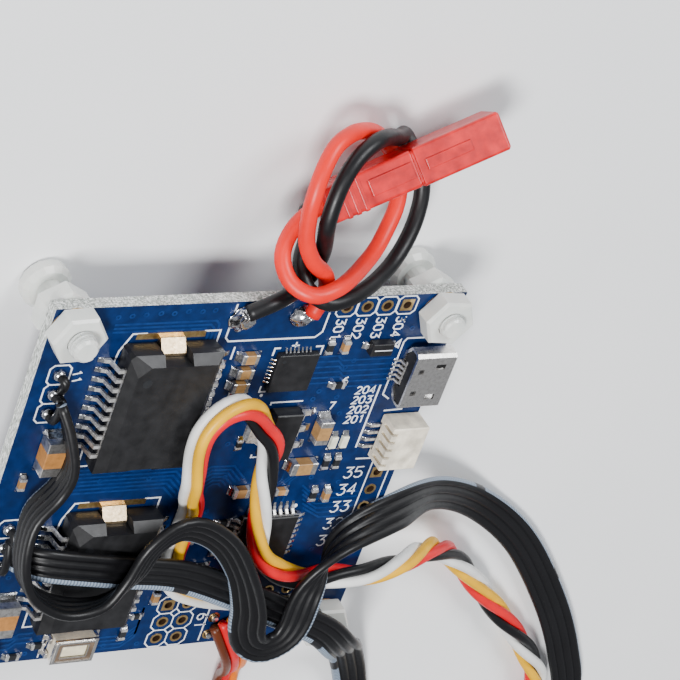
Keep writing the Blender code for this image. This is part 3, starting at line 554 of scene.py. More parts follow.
def put_sweep(mesh, points, sides, ups, section, marks=None, layer=None):
    """Pushes a closed section, a list of (across, up), along the points. marks gives each side's material."""
    rings = []
    for point, side, up in zip(points, sides, ups):
        spots = [point + side * a + up * b for a, b in section]
        rings.append([mesh.verts.new(Vector(spot) * MM) for spot in spots])
    marks = marks or [0] * len(section)
    steps = np.linalg.norm(np.diff(points, axis=0), axis=1)
    along = np.concatenate([[0], np.cumsum(steps)])
    for i, (here, there) in enumerate(zip(rings, rings[1:])):
        for k in range(len(section)):
            n = (k + 1) % len(section)
            face = mesh.faces.new((here[k], here[n], there[n], there[k]))
            face.material_index = marks[k]
            if layer is not None:
                corners = (along[i], along[i], along[i + 1], along[i + 1])
                for corner, u in zip(face.loops, corners):
                    corner[layer].uv = (u, k / len(section))
    for cap in (rings[0], rings[-1]):
        mesh.faces.new(cap).material_index = marks[0]


def round_section(radius, steps):
    return circle((0, 0), radius, steps)


def round_wire(name, route, radius, finish):
    points = smooth_path(route, 0.7)
    mesh = bmesh.new()
    put_sweep(mesh, points, *carried_frames(points), round_section(radius, 20))
    return new_piece(name, mesh, [finish], smooth=True), points


def flat_section(cores, thick, stripe_end):
    """Outline of touching round cores, and which of its sides carry the stripe.

    The stripe lies on the first core, from its outside up to the angle stripe_end on its top.
    """
    section, marks = [], []
    radius = thick / 2
    centres = [(k - (cores - 1) / 2) * thick for k in range(cores)]
    angles = (158, 126, 90, 54, 22)
    for k, centre in enumerate(centres):
        for angle in angles:
            a = math.radians(angle)
            section.append((centre + radius * math.cos(a), radius * math.sin(a)))
            marks.append(int(k == 0 and angle > stripe_end))
    for k, centre in reversed(list(enumerate(centres))):
        for angle in angles:
            a = math.radians(angle - 180)
            section.append((centre + radius * math.cos(a), radius * math.sin(a)))
            marks.append(int(k == 0 and angle < 60))
    return section, marks


def flat_cord(name, route, rolls, stripe_end, cores=4, thick=1.1):
    """A flat lead as one tube of joined cores. rolls maps a route point's index to its roll in degrees."""
    keys = sorted(rolls)
    turns = np.interp(range(len(route)), keys, [rolls[k] for k in keys])
    points = smooth_path([(*p, turn) for p, turn in zip(route, turns)], 0.9)
    mesh = bmesh.new()
    layer = mesh.loops.layers.uv.new("along")
    section, marks = flat_section(cores, thick, stripe_end)
    frames = flat_frames(points[:, :3], points[:, 3])
    put_sweep(mesh, points[:, :3], *frames, section, marks, layer)
    return new_piece(name, mesh, [FLAT_BLACK, MARKED], smooth=True), points, frames


def twisted_cord(name, route, finishes, strand, reach, twist):
    """Strands that wind round the route, each in its own material.

    twist lists how far the first strand has turned, in degrees, at lengths along the route.
    """
    centre = smooth_path(route, 0.7)
    sides, ups = carried_frames(centre)
    along = np.linspace(0, path_length(centre), len(centre))
    mesh = bmesh.new()
    count = len(finishes)
    lengths, turns = zip(*twist)
    turned = np.radians(np.interp(along, lengths, turns))
    for k in range(count):
        wander = 0.18 * np.sin(along / 6.0 + k * 1.7)
        angle = turned - 2 * np.pi * k / count + wander
        radius = reach * (1 + 0.12 * np.sin(along / 5.3 + 2.1 * k))
        points = centre + sides * (np.cos(angle) * radius)[:, None]
        points = points + ups * (np.sin(angle) * radius)[:, None]
        section = round_section(strand, 12)
        put_sweep(mesh, points, *carried_frames(points), section, [k] * len(section))
    return new_piece(name, mesh, finishes, smooth=True), centre


def plug_matrix():
    heading = Matrix.Rotation(math.radians(PLUG_HEADING), 4, "Z")
    roll = Matrix.Rotation(-math.radians(PLUG_ROLL), 4, "X")
    return Matrix.Translation(Vector(PLUG_CENTRE) * MM) @ heading @ roll


def rounded_rectangle(half_a, half_b, corner, steps=3):
    points = []
    for k, (sa, sb) in enumerate(((1, 1), (-1, 1), (-1, -1), (1, -1))):
        for step in range(steps + 1):
            angle = math.radians(90 * k + 90 * step / steps)
            points.append(
                (
                    sa * (half_a - corner) + corner * math.cos(angle),
                    sb * (half_b - corner) + corner * math.sin(angle),
                )
            )
    return points


def put_lengthwise(mesh, stations, finish=0):
    """A closed body along X. Each station is (x, half width, half height, corner, shift up)."""
    rings = []
    for x, half_a, half_b, corner, shift in stations:
        outline = rounded_rectangle(half_a, half_b, corner)
        rings.append(put_loop(mesh, [(x, a, b + shift) for a, b in outline]))
    for a, b in zip(rings, rings[1:]):
        bridge(mesh, a, b, finish)
    for cap in (rings[0], rings[-1]):
        mesh.faces.new(cap).material_index = finish


def make_power_plug():
    """Two-way plug: narrower wire end, wider mating end with a seam, ribs and a latch."""
    mesh = bmesh.new()
    rear, seam, front = -10.45, 0.2, 10.45
    stations = [
        (rear, 1.75, 2.3, 0.3, 0),
        (rear + 0.3, 2.0, 2.55, 0.35, 0),
        (seam - 0.3, 2.05, 2.6, 0.35, 0),
        (seam - 0.12, 1.85, 2.4, 0.3, 0),
        (seam + 0.05, 1.85, 2.4, 0.3, 0),
        (seam + 0.12, 2.15, 2.7, 0.3, 0),
        (front - 0.25, 2.15, 2.7, 0.3, 0),
        (front, 1.95, 2.5, 0.25, 0),
        (front, 1.6, 2.1, 0.2, 0),
        (front - 4.0, 1.55, 2.05, 0.2, 0),
    ]
    put_lengthwise(mesh, stations)
    for x in (-8.6, -7.6, -6.6):
        put_lengthwise(mesh, [(x, 2.12, 2.66, 0.3, 0), (x + 0.45, 2.12, 2.66, 0.3, 0)])
    put_box(mesh, (-5.4, -0.9, 2.5), (-0.4, 0.9, 2.82))
    put_box(mesh, (1.2, -0.6, 2.6), (6.5, 0.6, 2.9))
    mesh.transform(plug_matrix())
    plug = new_piece("power_plug", mesh, [RED_PLASTIC], bevel=0.08)
    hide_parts("power_plug_housing")
    return plug


def make_tinned_end(name, start, end):
    """Bare tinned strands between a solder joint and the end of a wire's insulation."""
    points = smooth_path([start, end], 0.25)
    sides, ups = carried_frames(points)
    mesh = bmesh.new()
    for k in range(7):
        angle = 2 * math.pi * k / 6
        reach = 0.0 if k == 6 else 0.42
        offset = sides[0] * math.cos(angle) * reach + ups[0] * math.sin(angle) * reach
        put_sweep(mesh, points + offset, sides, ups, round_section(0.24, 8))
    return new_piece(name, mesh, [SOLDER], smooth=True)


def make_blob(name, middle, size, lean, node):
    """A solder joint that has flowed round its wire: a mound with an uneven skin."""
    mesh = bmesh.new()
    bmesh.ops.create_icosphere(mesh, subdivisions=4, radius=1.0)
    for vert in mesh.verts:
        x, y, z = vert.co
        flat = max(z, -0.12)
        lumps = noise.noise(vert.co * 1.7 + Vector((*middle, 0.0)))
        swell = 1 + 0.22 * lumps + 0.03 * noise.noise(vert.co * 4.0)
        skirt = 1.0 + 0.25 * max(0.0, 0.35 - flat)
        a = x * size[0] * swell * skirt + max(0.0, flat) * lean[0]
        b = y * size[1] * swell * skirt + max(0.0, flat) * lean[1]
        vert.co = Vector((middle[0] + a, middle[1] + b, TOP + 0.08 + max(0.0, flat) * size[2] * swell)) * MM
    blob = new_piece(name, mesh, [SOLDER], smooth=True)
    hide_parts(node)
    return blob


def start_stub(name, hole, join, finish, radius=0.55):
    """One core from its solder joint to where it joins the flat lead."""
    middle = tuple((a + b) / 2 + up for a, b, up in zip(hole, join, (0.1, 0.2, 0.9)))
    above_hole = (hole[0] + 0.3, hole[1] - 0.1, hole[2] + 1.0)
    points = smooth_path([hole, above_hole, middle, join], 0.4)
    mesh = bmesh.new()
    put_sweep(mesh, points, *carried_frames(points), round_section(radius, 12))
    return new_piece(name, mesh, [finish], smooth=True)


def core_point(points, frames, index, across):
    side = frames[0][index]
    return tuple(points[index][:3] + side * across)


CORE_PITCH = 1.1  # between neighbouring cores of a flat lead
FLAT_LEAD_CORES = 4
REMOTE_CORES = 3
MOTOR_HOLE_X = -22.2
CORE_HOLES = (0, 1, 1, 2)  # the motor hole that each core of a flat lead goes to


def make_cords():
    red, red_path = round_wire("wire_red", RED_ROUTE, 0.9, RED_SILICONE)
    black, black_path = round_wire("wire_black", BLACK_ROUTE, 0.9, BLACK_SILICONE)
    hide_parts("power_wire_red")
    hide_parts("power_wire_black")
    plug = make_power_plug()
    red_end = make_tinned_end("wire_end_red", (4.4, 22.75, 8.75), RED_ROUTE[0])
    black_end = make_tinned_end("wire_end_black", (-3.0, 23.0, 8.75), BLACK_ROUTE[0])

    # The roll of each flat lead, in degrees, at the points of its route
    north_rolls = {0: 98, 3: 104, 5: 100, 8: 80, 10: 34, 12: 20, 14: 55, 16: 40, 18: 5, 20: 0}
    north_rolls.update({21: 8, 22: 85, 23: 130, 24: 165, 25: 178, 27: 180})
    south_rolls = {0: 0, 3: 0, 9: 12, 13: 0}
    motor_leads = (
        ("north", MOTOR_NORTH_ROUTE, north_rolls, 100, 16.25),
        ("south", MOTOR_SOUTH_ROUTE, south_rolls, 80, -4.85),
    )
    for side, route, rolls, stripe_end, hole_y in motor_leads:
        name = f"lead_motor_{side}"
        lead, points, frames = flat_cord(name, route, rolls, stripe_end)
        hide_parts(f"motor_lead_{side}")
        for k, hole in enumerate(CORE_HOLES):
            beside = 0.18 if k == 2 else 0.0
            start = (MOTOR_HOLE_X + beside, hole_y - hole * PIN, TOP + 0.1)
            join = core_point(points, frames, 0, (k - (FLAT_LEAD_CORES - 1) / 2) * CORE_PITCH)
            start_stub(f"{name}_core_{k + 1}", start, join, FLAT_BLACK, 0.5)

    finishes = [STRAND_WHITE, STRAND_BLACK, STRAND_RED, STRAND_YELLOW]
    twist = ((0, 230), (20, 165), (30, 190), (41, 150), (52, 45), (157, -1405))
    sensor, centre = twisted_cord(
        "lead_sensor", SENSOR_ROUTE, finishes, 0.63, 0.82, twist
    )
    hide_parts("sensor_lead")

    points = smooth_path(REMOTE_ROUTE, 0.8)
    frames = flat_frames(points, np.zeros(len(points)))
    mesh = bmesh.new()
    for k in range(REMOTE_CORES):
        strand = points + frames[0] * (k - 1) * CORE_PITCH
        section = round_section(0.55, 12)
        put_sweep(mesh, strand, *frames, section, [k] * len(section))
    remote = new_piece(
        "lead_remote", mesh, [STRAND_BROWN, STRAND_RED, STRAND_ORANGE], smooth=True
    )
    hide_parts("remote_lead")


make_cords()


# ---------------------------------------------------------------- board artwork
COPPER = (TOP + 0.004, TOP + 0.022)
INK = (TOP + 0.006, TOP + 0.034)
PAD = (TOP + 0.006, TOP + 0.05)
GLYPHS = {
    "0": [
        [(0, 0.3), (0.3, 0), (0.7, 0), (1, 0.3), (1, 1.3), (0.7, 1.6), (0.3, 1.6), (0, 1.3), (0, 0.3)]
    ],
    "1": [[(0.2, 1.3), (0.55, 1.6), (0.55, 0)]],
    "2": [[(0, 1.3), (0.3, 1.6), (0.7, 1.6), (1, 1.3), (1, 1.0), (0, 0), (1, 0)]],
    "3": [
        [(0, 1.6), (1, 1.6), (0.45, 0.95), (0.8, 0.95), (1, 0.7), (1, 0.3), (0.7, 0), (0.3, 0), (0, 0.25)]
    ],
    "4": [[(0.75, 0), (0.75, 1.6), (0, 0.5), (1, 0.5)]],
    "5": [
        [(1, 1.6), (0.1, 1.6), (0, 0.9), (0.7, 0.95), (1, 0.65), (1, 0.3), (0.7, 0), (0.3, 0), (0, 0.2)]
    ],
    "6": [
        [
            (0.9, 1.6), (0.4, 1.4), (0, 0.8), (0, 0.3), (0.3, 0),
            (0.7, 0), (1, 0.3), (1, 0.6), (0.7, 0.9), (0.1, 0.8),
        ]
    ],
    "7": [[(0, 1.6), (1, 1.6), (0.4, 0)]],
    "8": [
        [
            (0.3, 0.85), (0, 1.1), (0, 1.35), (0.3, 1.6), (0.7, 1.6),
            (1, 1.35), (1, 1.1), (0.7, 0.85), (0.3, 0.85),
        ],
        [(0.25, 0.8), (0, 0.5), (0, 0.25), (0.3, 0), (0.7, 0), (1, 0.25), (1, 0.5), (0.75, 0.8)],
    ],
    "9": [
        [
            (0.9, 0.8), (0.3, 0.7), (0, 1.0), (0, 1.3), (0.3, 1.6),
            (0.7, 1.6), (1, 1.3), (1, 0.8), (0.6, 0.1), (0.1, 0),
        ]
    ],
    "+": [[(0, 0.8), (1, 0.8)], [(0.5, 0.3), (0.5, 1.3)]],
    "-": [[(0, 0.8), (1, 0.8)]],
}


def put_digits(mesh, text, at, size, turn):
    """Printed digits. at is the lower left corner, size the width of one, turn in degrees."""
    heading = Matrix.Rotation(math.radians(turn), 2)
    for k, sign in enumerate(text):
        for stroke in GLYPHS[sign]:
            spots = []
            for a, b in stroke:
                spot = heading @ Vector(((a + k * 1.45) * size, b * size))
                spots.append((at[0] + spot.x, at[1] + spot.y))
            closed = spots[0] == spots[-1]
            put_line(mesh, spots[:-1] if closed else spots, 0.17, *INK, closed=closed)


def octagon(middle, half_a, half_b, corner):
    x, y = middle
    a, b, c = half_a, half_b, corner
    return [
        (x - a + c, y - b), (x + a - c, y - b), (x + a, y - b + c), (x + a, y + b - c),
        (x + a - c, y + b), (x - a + c, y + b), (x - a, y + b - c), (x - a, y - b + c),
    ]


DRIVERS = ((-10.5, 12.4), (-10.5, -10.8))


def make_ink():
    mesh = bmesh.new()
    width = 0.2

    def line(*points, closed=False, thick=width, lift=0.0):
        put_line(mesh, points, thick, INK[0] + lift, INK[1] + lift, closed=closed)

    for x, y in DRIVERS:
        west, east, north, south = x - 5.9, x + 5.8, y + 8.9, y - 8.95
        line((west + 0.1, north - 4.0), (west + 0.3, north - 2.2), (west + 1.3, north), (west + 3.0, north))
        line((east - 1.9, north), (east, north), (east, north - 1.6))
        line((west + 1.2, south), (west, south), (west, south + 2.6))
        line((east - 1.4, south), (east, south), (east, south + 1.4))
    for k in range(4):
        x = 10.1 + k * PIN
        line(*octagon((x, 23.6), 1.22, 1.22, 0.45), closed=True, thick=0.16, lift=k % 2 * 0.004)
    for rows in ((16.3, "1"), (-4.85, "2")):
        for k in range(3):
            spots = octagon((MOTOR_HOLE_X, rows[0] - k * PIN), 1.25, 1.27, 0.45)
            line(*spots, closed=True, thick=0.18, lift=k % 2 * 0.004)
    for column, x in enumerate((1.45, 3.99)):
        for k in range(3):
            spots = octagon((x, -18.5 - k * PIN), 1.27, 1.27, 0.62)
            line(*spots, closed=True, thick=0.16, lift=(column + k) % 2 * 0.004)
    line((-3.75, 24.7), (-3.75, 20.2), (-3.3, 19.7), (7.4, 19.7), (8.1, 20.4), (8.1, 23.0))
    put_digits(mesh, "+", (4.9, 17.9), 0.95, 0)
    line((-2.2, 17.2), (-2.2, 18.9))
    for k, text in enumerate(("301", "302", "303", "304")):
        put_digits(mesh, text, (9.45 + k * PIN, 22.0), 0.7, -90)
    put_digits(mesh, "11", (-20.7, 16.6), 0.62, -80)
    put_digits(mesh, "12", (-20.7, -4.6), 0.62, -80)
    line((3.6, 18.4), (2.9, 18.4), (2.9, 17.4))
    line((8.0, 18.4), (8.9, 18.4), (8.9, 17.2))
    line((2.9, 13.2), (2.9, 12.4), (3.7, 12.4))
    line((5.0, 10.4), (5.0, 10.75), (9.0, 10.75), thick=0.18)
    line((5.0, 3.4), (5.0, 3.0), (8.0, 3.0), thick=0.18)
    line((18.1, 18.0), (18.7, 18.7), (18.7, 17.7), closed=True, thick=0.25)
    line((22.0, 18.9), (19.5, 18.9), (19.2, 18.4), (19.2, 11.0), (20.2, 10.3))
    line((18.4, 12.4), (18.4, 3.4), thick=0.22)
    line((20.2, 8.6), (22.6, 8.7))
    line((19.0, 1.7), (22.0, 1.6))
    for k, text in enumerate(("204", "203", "202", "201")):
        put_digits(mesh, text, (15.5, 11.3 - k * 1.4), 0.62, 0)
    line((21.5, 1.2), (21.5, -11.8), thick=0.16)
    line((24.1, 1.2), (24.1, -11.8), thick=0.16)
    for k, text in enumerate(("35", "34", "33", "32", "31")):
        put_digits(mesh, text, (18.3, -1.1 - k * PIN), 0.95, 0)
    line((7.2, -17.6), (7.2, -24.6), thick=0.18)
    put_digits(mesh, "61", (5.95, -20.4), 0.85, -90)
    put_digits(mesh, "51", (12.0, -20.0), 0.85, 0)
    put_prism(mesh, circle((13.35, -4.75), 0.28, 12), *INK)
    put_prism(mesh, circle((3.35, 11.9), 0.2, 12), *INK)
    line((-13.2, -20.2), (-13.2, -25.0 + 0.3), thick=0.16)
    line((-18.6, -14.3), (-18.6, -19.8), thick=0.16)
    lone_digits = {"7": (12.7, 9.3), "4": (8.6, -0.2), "9": (-1.9, -6.9)}
    lone_digits.update({"5": (-19.9, 21.6), "6": (13.2, 12.8)})
    for text, spot in lone_digits.items():
        put_digits(mesh, text, spot, 0.62, 0)
    return new_piece("printed_marks", mesh, [SILK])


def ring_pad(mesh, middle, square=False):
    steps = 16
    inner = circle(middle, 0.5, steps, math.pi / 4)
    if square:
        side = 0.76
        outer = []
        for k in range(steps):
            a = math.pi / 4 + 2 * math.pi * k / steps
            reach = side / max(abs(math.cos(a)), abs(math.sin(a)))
            outer.append((middle[0] + reach * math.cos(a), middle[1] + reach * math.sin(a)))
    else:
        outer = circle(middle, 0.74, steps, math.pi / 4)
    put_annulus(mesh, outer, inner, *PAD)
    put_annulus(mesh, outer, inner, LOW - 0.05, LOW - 0.006)
    wall_outer = circle(middle, 0.495, steps, math.pi / 4)
    wall_inner = circle(middle, 0.44, steps, math.pi / 4)
    put_annulus(mesh, wall_outer, wall_inner, LOW - 0.03, TOP + 0.03, 1)


HOLES = (
    ((10.1, 23.6), (PIN, 0), 4), ((-22.2, 16.3), (0, -PIN), 3), ((-22.2, -4.85), (0, -PIN), 3),
    ((1.45, -18.5), (0, -PIN), 3), ((3.99, -18.5), (0, -PIN), 3), ((8.2, -18.6), (0, -PIN), 3),
    ((22.65, -0.55), (0, -PIN), 5), ((11.6, -17.6), (PIN, 0), 4),
)


def make_gold():
    mesh = bmesh.new()
    for row, (first, step, count) in enumerate(HOLES):
        for k in range(count):
            spot = (first[0] + k * step[0], first[1] + k * step[1])
            ring_pad(mesh, spot, square=(row == 0 and k == 3) or (row in (3, 5, 6) and k == 0))
    for x, y in DRIVERS:
        for side, edge in ((1, 8.15), (-1, 8.15)):
            low, high = sorted((y + side * edge, y + side * (edge + 0.75)))
            put_prism(mesh, [(x - 4.1, low), (x + 4.1, low), (x + 4.1, high), (x - 4.1, high)], *PAD)
    for sx in (-1, 1):
        for sy in (-1, 1):
            middle = (sx * 22.5, sy * 22.5)
            put_annulus(mesh, circle(middle, 2.6, 32), circle(middle, 1.62, 32), TOP + 0.003, TOP + 0.012)
    return new_piece("gold_pads", mesh, [GOLD, HOLE_WALL])


def put_via(mesh, x, y):
    put_annulus(mesh, circle((x, y), 0.34, 12), circle((x, y), 0.15, 12), COPPER[0], COPPER[1] + 0.012)


VIAS = (
    (-17.5, 23.6), (-15.9, 23.7), (-14.3, 23.8), (-12.6, 23.9), (-11.0, 23.8), (-9.4, 24.0),
    (-7.7, 23.9), (-6.2, 24.0), (-18.0, 2.2), (-4.1, 9.8), (-3.2, 11.4), (1.9, 9.3), (10.6, 12.0),
    (12.8, 15.2), (13.6, 16.1), (13.2, 11.0), (10.2, 10.9), (14.4, 8.6), (1.4, 5.2), (0.2, 1.0),
    (2.6, 0.4), (6.4, 0.9), (14.0, -0.6), (17.9, -1.6), (-1.3, -3.6), (-2.9, -5.6), (1.9, -4.6),
    (19.3, -8.3), (17.9, -11.7), (17.2, -15.3), (19.8, -13.2), (5.4, -15.0), (2.6, -14.6),
    (-2.9, -12.1), (-2.6, -14.0), (-16.9, -21.2), (-15.0, -23.9), (-18.9, -22.9), (-20.2, -12.0),
    (-5.2, -23.9), (-0.9, -24.1), (-7.0, 1.0), (-13.0, 1.1), (18.0, 21.6), (19.6, 20.3),
)


def make_tracks():
    mesh = bmesh.new()

    def track(width, *spots):
        put_line(mesh, list(spots), width, *COPPER)

    # Between the two motor drivers, turning round the middle of the board
    for k in range(7):
        y = 2.8 - 0.55 * k
        turn = -3.4 - 0.23 * k
        track(0.26, (-18.2 + 0.3 * k, y), (turn, y), (turn + 1.7, y - 1.7), (turn + 1.7, -6.2 - 0.2 * k))
    # Nested tracks east of the drivers
    for k in range(6):
        r = 0.9 + 0.55 * k
        spots = []
        for a in range(5):
            angle = math.radians(200 - 45 * a)
            spots.append((1.7 + r * math.cos(angle) * 1.05, -1.4 + r * math.sin(angle)))
        track(0.24, *spots)
    # From the bridge chip to the USB socket
    for k in range(6):
        y = 16.9 - 0.75 * k
        track(0.24, (8.9, y), (11.4 + 0.3 * k, y), (12.1 + 0.3 * k, y - 0.7), (19.0, y - 0.7))
    # Along the north edge
    for k in range(3):
        track(0.26, (-17.6, 22.6 - 0.5 * k), (-5.6 - 0.5 * k, 22.6 - 0.5 * k),
              (-5.1 - 0.5 * k, 22.1 - 0.5 * k), (-5.1 - 0.5 * k, 18.2))
    # West edge to the motor holes
    for k in range(4):
        x = -18.9 - 0.55 * k
        track(0.28, (x, 10.2), (x, 4.2 - 0.4 * k), (x + 2.0, 2.2 - 0.4 * k))
    # Under the processor, out to the right-hand row of holes
    for k in range(6):
        y = -3.3 - 0.7 * k
        track(0.24, (13.2 + 0.25 * k, y + 1.6), (15.1 + 0.4 * k, y), (21.2, y))
    for k in range(5):
        x = 8.2 + 0.8 * k
        track(0.24, (x, -4.2), (x, -2.2 + 0.3 * k), (x + 1.2, -1.0 + 0.3 * k), (x + 1.2, 0.6))
    # South edge
    for k in range(4):
        y = -24.4 + 0.6 * k
        track(0.26, (-6.0, y), (-3.0, y), (-1.6, y + 1.4), (-1.6, -18.9 + 0.2 * k))
    for k in range(3):
        y = -21.6 - 0.7 * k
        track(0.3, (-20.0, y), (-17.4, y), (-16.6, y + 0.8), (-14.8, y + 0.8))
    for x, y in VIAS:
        put_via(mesh, x, y)
    return new_piece("copper_tracks", mesh, [TRACE])


# ---------------------------------------------------------------- solder and small parts
def put_fillet(mesh, middle, facing, length, width, height, finish=0):
    """A wedge of solder that slopes down from a terminal, facing away from it."""
    turn = math.radians(facing)
    ahead = Vector((math.cos(turn), math.sin(turn)))
    aside = Vector((-ahead.y, ahead.x))
    base = Vector(middle)
    profile = ((0.0, 1.0), (0.3, 0.62), (0.65, 0.25), (1.0, 0.06))
    rings = []
    for share, rise in profile:
        centre = base + ahead * length * share
        half = width / 2 * (1 - 0.12 * share)
        a, b = centre - aside * half, centre + aside * half
        c, d = centre - aside * half * 0.8, centre + aside * half * 0.8
        top = TOP + 0.06 + height * rise
        rings.append(put_loop(mesh, [(*a, TOP + 0.01), (*b, TOP + 0.01), (*d, top), (*c, top)]))
    for a, b in zip(rings, rings[1:]):
        bridge(mesh, a, b, finish)
    for cap in (rings[0], rings[-1]):
        mesh.faces.new(cap).material_index = finish


# x, y, long way (0 along X, 90 along Y), length, width, height, body material index
SMALL_PARTS = (
    (9.7, 18.3, 90, 1.6, 0.8, 0.45, 0), (11.5, 18.5, 90, 1.6, 0.8, 0.75, 1),
    (0.3, 12.2, 0, 1.6, 0.8, 0.5, 0), (15.0, 1.6, 90, 1.6, 0.8, 0.45, 0),
    (16.4, 1.6, 90, 1.6, 0.8, 0.45, 0), (15.0, -3.1, 90, 1.6, 0.8, 0.45, 0),
    (16.6, -3.1, 90, 1.6, 0.8, 0.75, 1), (10.3, -2.0, 0, 1.6, 0.8, 0.75, 1),
    (5.0, -1.6, 0, 2.0, 1.25, 0.9, 1), (4.4, -6.3, 0, 1.6, 0.8, 0.45, 0),
    (5.6, -7.6, 0, 1.6, 0.8, 0.45, 0), (0.5, -8.5, 0, 1.6, 0.8, 0.6, 1),
    (4.6, -10.2, 90, 1.6, 0.8, 0.45, 0), (3.6, -12.6, 0, 1.6, 0.8, 0.45, 0),
    (-13.9, -22.6, 0, 1.6, 0.8, 0.5, 0), (-3.4, -22.1, 90, 1.6, 0.8, 0.45, 0),
    (-0.9, -16.8, 90, 1.6, 0.8, 0.7, 1), (-2.4, -19.6, 0, 1.2, 0.7, 0.4, 0),
    (16.6, -18.9, 0, 1.6, 0.8, 0.45, 0), (19.0, -16.6, 90, 1.6, 0.8, 0.7, 1),
    (-16.6, -24.0, 0, 1.6, 0.8, 0.45, 0), (2.7, 5.2, 90, 1.2, 0.7, 0.4, 0),
    (12.6, 12.9, 0, 1.6, 0.8, 0.45, 0), (-22.6, 1.8, 90, 1.6, 0.8, 0.6, 1),
)


def make_small_parts():
    mesh = bmesh.new()
    joints = bmesh.new()
    for x, y, way, length, width, height, kind in SMALL_PARTS:
        half, side = length / 2, width / 2
        cap = length * 0.22
        low, high = TOP + 0.05, TOP + 0.05 + height

        def box(a0, a1, b, z0, z1, finish):
            if way == 0:
                put_box(mesh, (x + a0, y - b, z0), (x + a1, y + b, z1), finish)
            else:
                put_box(mesh, (x - b, y + a0, z0), (x + b, y + a1, z1), finish)

        box(-half + cap, half - cap, side - 0.03, low + 0.02, high - 0.03, kind)
        box(-half, -half + cap, side, low, high, 2)
        box(half - cap, half, side, low, high, 2)
        for sign in (-1, 1):
            facing = way if sign > 0 else way + 180
            end = (x + sign * half * (way == 0), y + sign * half * (way == 90))
            put_fillet(joints, end, facing, 0.45, width * 1.15, height * 0.7)
    new_piece("small_parts", mesh, [RESISTOR_FACE, BROWN, TIN], bevel=0.05)
    add_cad_fillets(joints)
    new_piece("solder_fillets", joints, [SOLDER], smooth=False, bevel=0.03)


def add_cad_fillets(mesh):
    """Solder at the terminals of the chips and capacitors that the solids hold."""
    for x, y in DRIVERS:
        for k in range(10):
            place = y + (k - 4.5) * 1.27
            put_fillet(mesh, (x + 7.1, place), 0, 0.7, 0.7, 0.28)
            put_fillet(mesh, (x - 7.1, place), 180, 0.7, 0.7, 0.28)
    for quarter in range(4):
        turn = math.radians(90 * quarter)
        for k in range(8):
            across = (k - 3.5) * 0.8
            a = 4.42 * math.cos(turn) - across * math.sin(turn)
            b = 4.42 * math.sin(turn) + across * math.cos(turn)
            put_fillet(mesh, (10.1 + a, -8.9 + b), 90 * quarter, 0.5, 0.42, 0.15)
        for k in range(7):
            across = (k - 3) * 0.5
            a = 2.42 * math.cos(turn) - across * math.sin(turn)
            b = 2.42 * math.sin(turn) + across * math.cos(turn)
            put_fillet(mesh, (5.85 + a, 15.4 + b), 90 * quarter, 0.62, 0.27, 0.34)
    blocks = (
        (-20.2, 6.2, 90, 4.5, 3.2, 1.0), (-20.2, -17.0, 90, 4.5, 3.2, 1.0), (-0.2, 17.6, 0, 2.0, 1.25, 0.6),
        (-0.2, 15.6, 0, 2.0, 1.25, 0.6), (-0.2, 13.7, 0, 2.0, 1.25, 0.6), (12.4, 6.95, 90, 3.2, 1.6, 0.8),
        (11.7, 1.7, 0, 3.2, 1.6, 0.8), (14.85, 4.7, 90, 1.6, 0.8, 0.3), (16.25, 4.7, 90, 1.6, 0.8, 0.3),
        (16.0, 18.2, 0, 3.1, 0.9, 0.3),
    )
    for x, y, way, length, width, height in blocks:
        for sign in (-1, 1):
            facing = way if sign > 0 else way + 180
            reach = sign * (length / 2 - 0.04)
            end = (x + reach * (way == 0), y + reach * (way == 90))
            put_fillet(mesh, end, facing, 0.6, width * 1.08, height)
    for place in (-2.3, 0, 2.3):
        put_fillet(mesh, (10.4, 6.9 + place), 0, 0.7, 1.2, 0.3)
    put_fillet(mesh, (3.5, 6.9), 180, 0.6, 3.3, 0.3)
    for k in range(4):
        put_fillet(mesh, (19.1, 5.2 + (k - 1.5)), 180, 0.5, 0.6, 0.25)
    for k in range(5):
        put_fillet(mesh, (19.2, 14.6 + (k - 2) * 0.65), 180, 0.4, 0.38, 0.18)


def make_diode_ends():
    mesh = bmesh.new()
    for sign in (-1, 1):
        a, b = sorted((16.0 + sign * 1.3, 16.0 + sign * 1.8))
        put_box(mesh, (a, 17.9, TOP + 0.05), (b, 18.5, TOP + 0.3))
    new_piece("diode_leads", mesh, [TIN], bevel=0.05)
    # A thin white line along the top of the diode body, in the printed ink's material: a painted highlight,
    # not print.
    mesh = bmesh.new()
    put_line(mesh, [(15.0, 18.2), (17.2, 18.2)], 0.12, TOP + 1.103, TOP + 1.12)
    new_piece("diode_painted_highlight", mesh, [SILK])


def make_threads():
    """The visible turns of thread on each screw's end, their ridge fading out near the tip."""
    for name, sx, sy in (("nw", -1, 1), ("ne", 1, 1), ("sw", -1, -1), ("se", 1, -1)):
        middle = Vector((sx * 22.5, sy * 22.5))
        low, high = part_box(f"screw_{name}")
        tip = high.z / MM
        start = TOP + 2.4
        pitch, steps = 0.5, 24
        turns = (tip - start - 0.25) / pitch
        mesh = bmesh.new()
        rings = []
        for k in range(int(turns * steps)):
            angle = 2 * math.pi * k / steps
            height = start + pitch * k / steps
            fade = min(1.0, (tip - height) / 0.9)
            ahead = Vector((math.cos(angle), math.sin(angle)))
            spots = []
            for reach, rise in ((1.36, -0.17), (1.36 + 0.2 * fade, 0.0), (1.36, 0.17)):
                spots.append((*(middle + ahead * reach), height + rise))
            rings.append(put_loop(mesh, spots))
        for a, b in zip(rings, rings[1:]):
            bridge(mesh, a, b)
        for cap in (rings[0], rings[-1]):
            mesh.faces.new(cap)
        new_piece(f"thread_{name}", mesh, [NYLON], smooth=True)


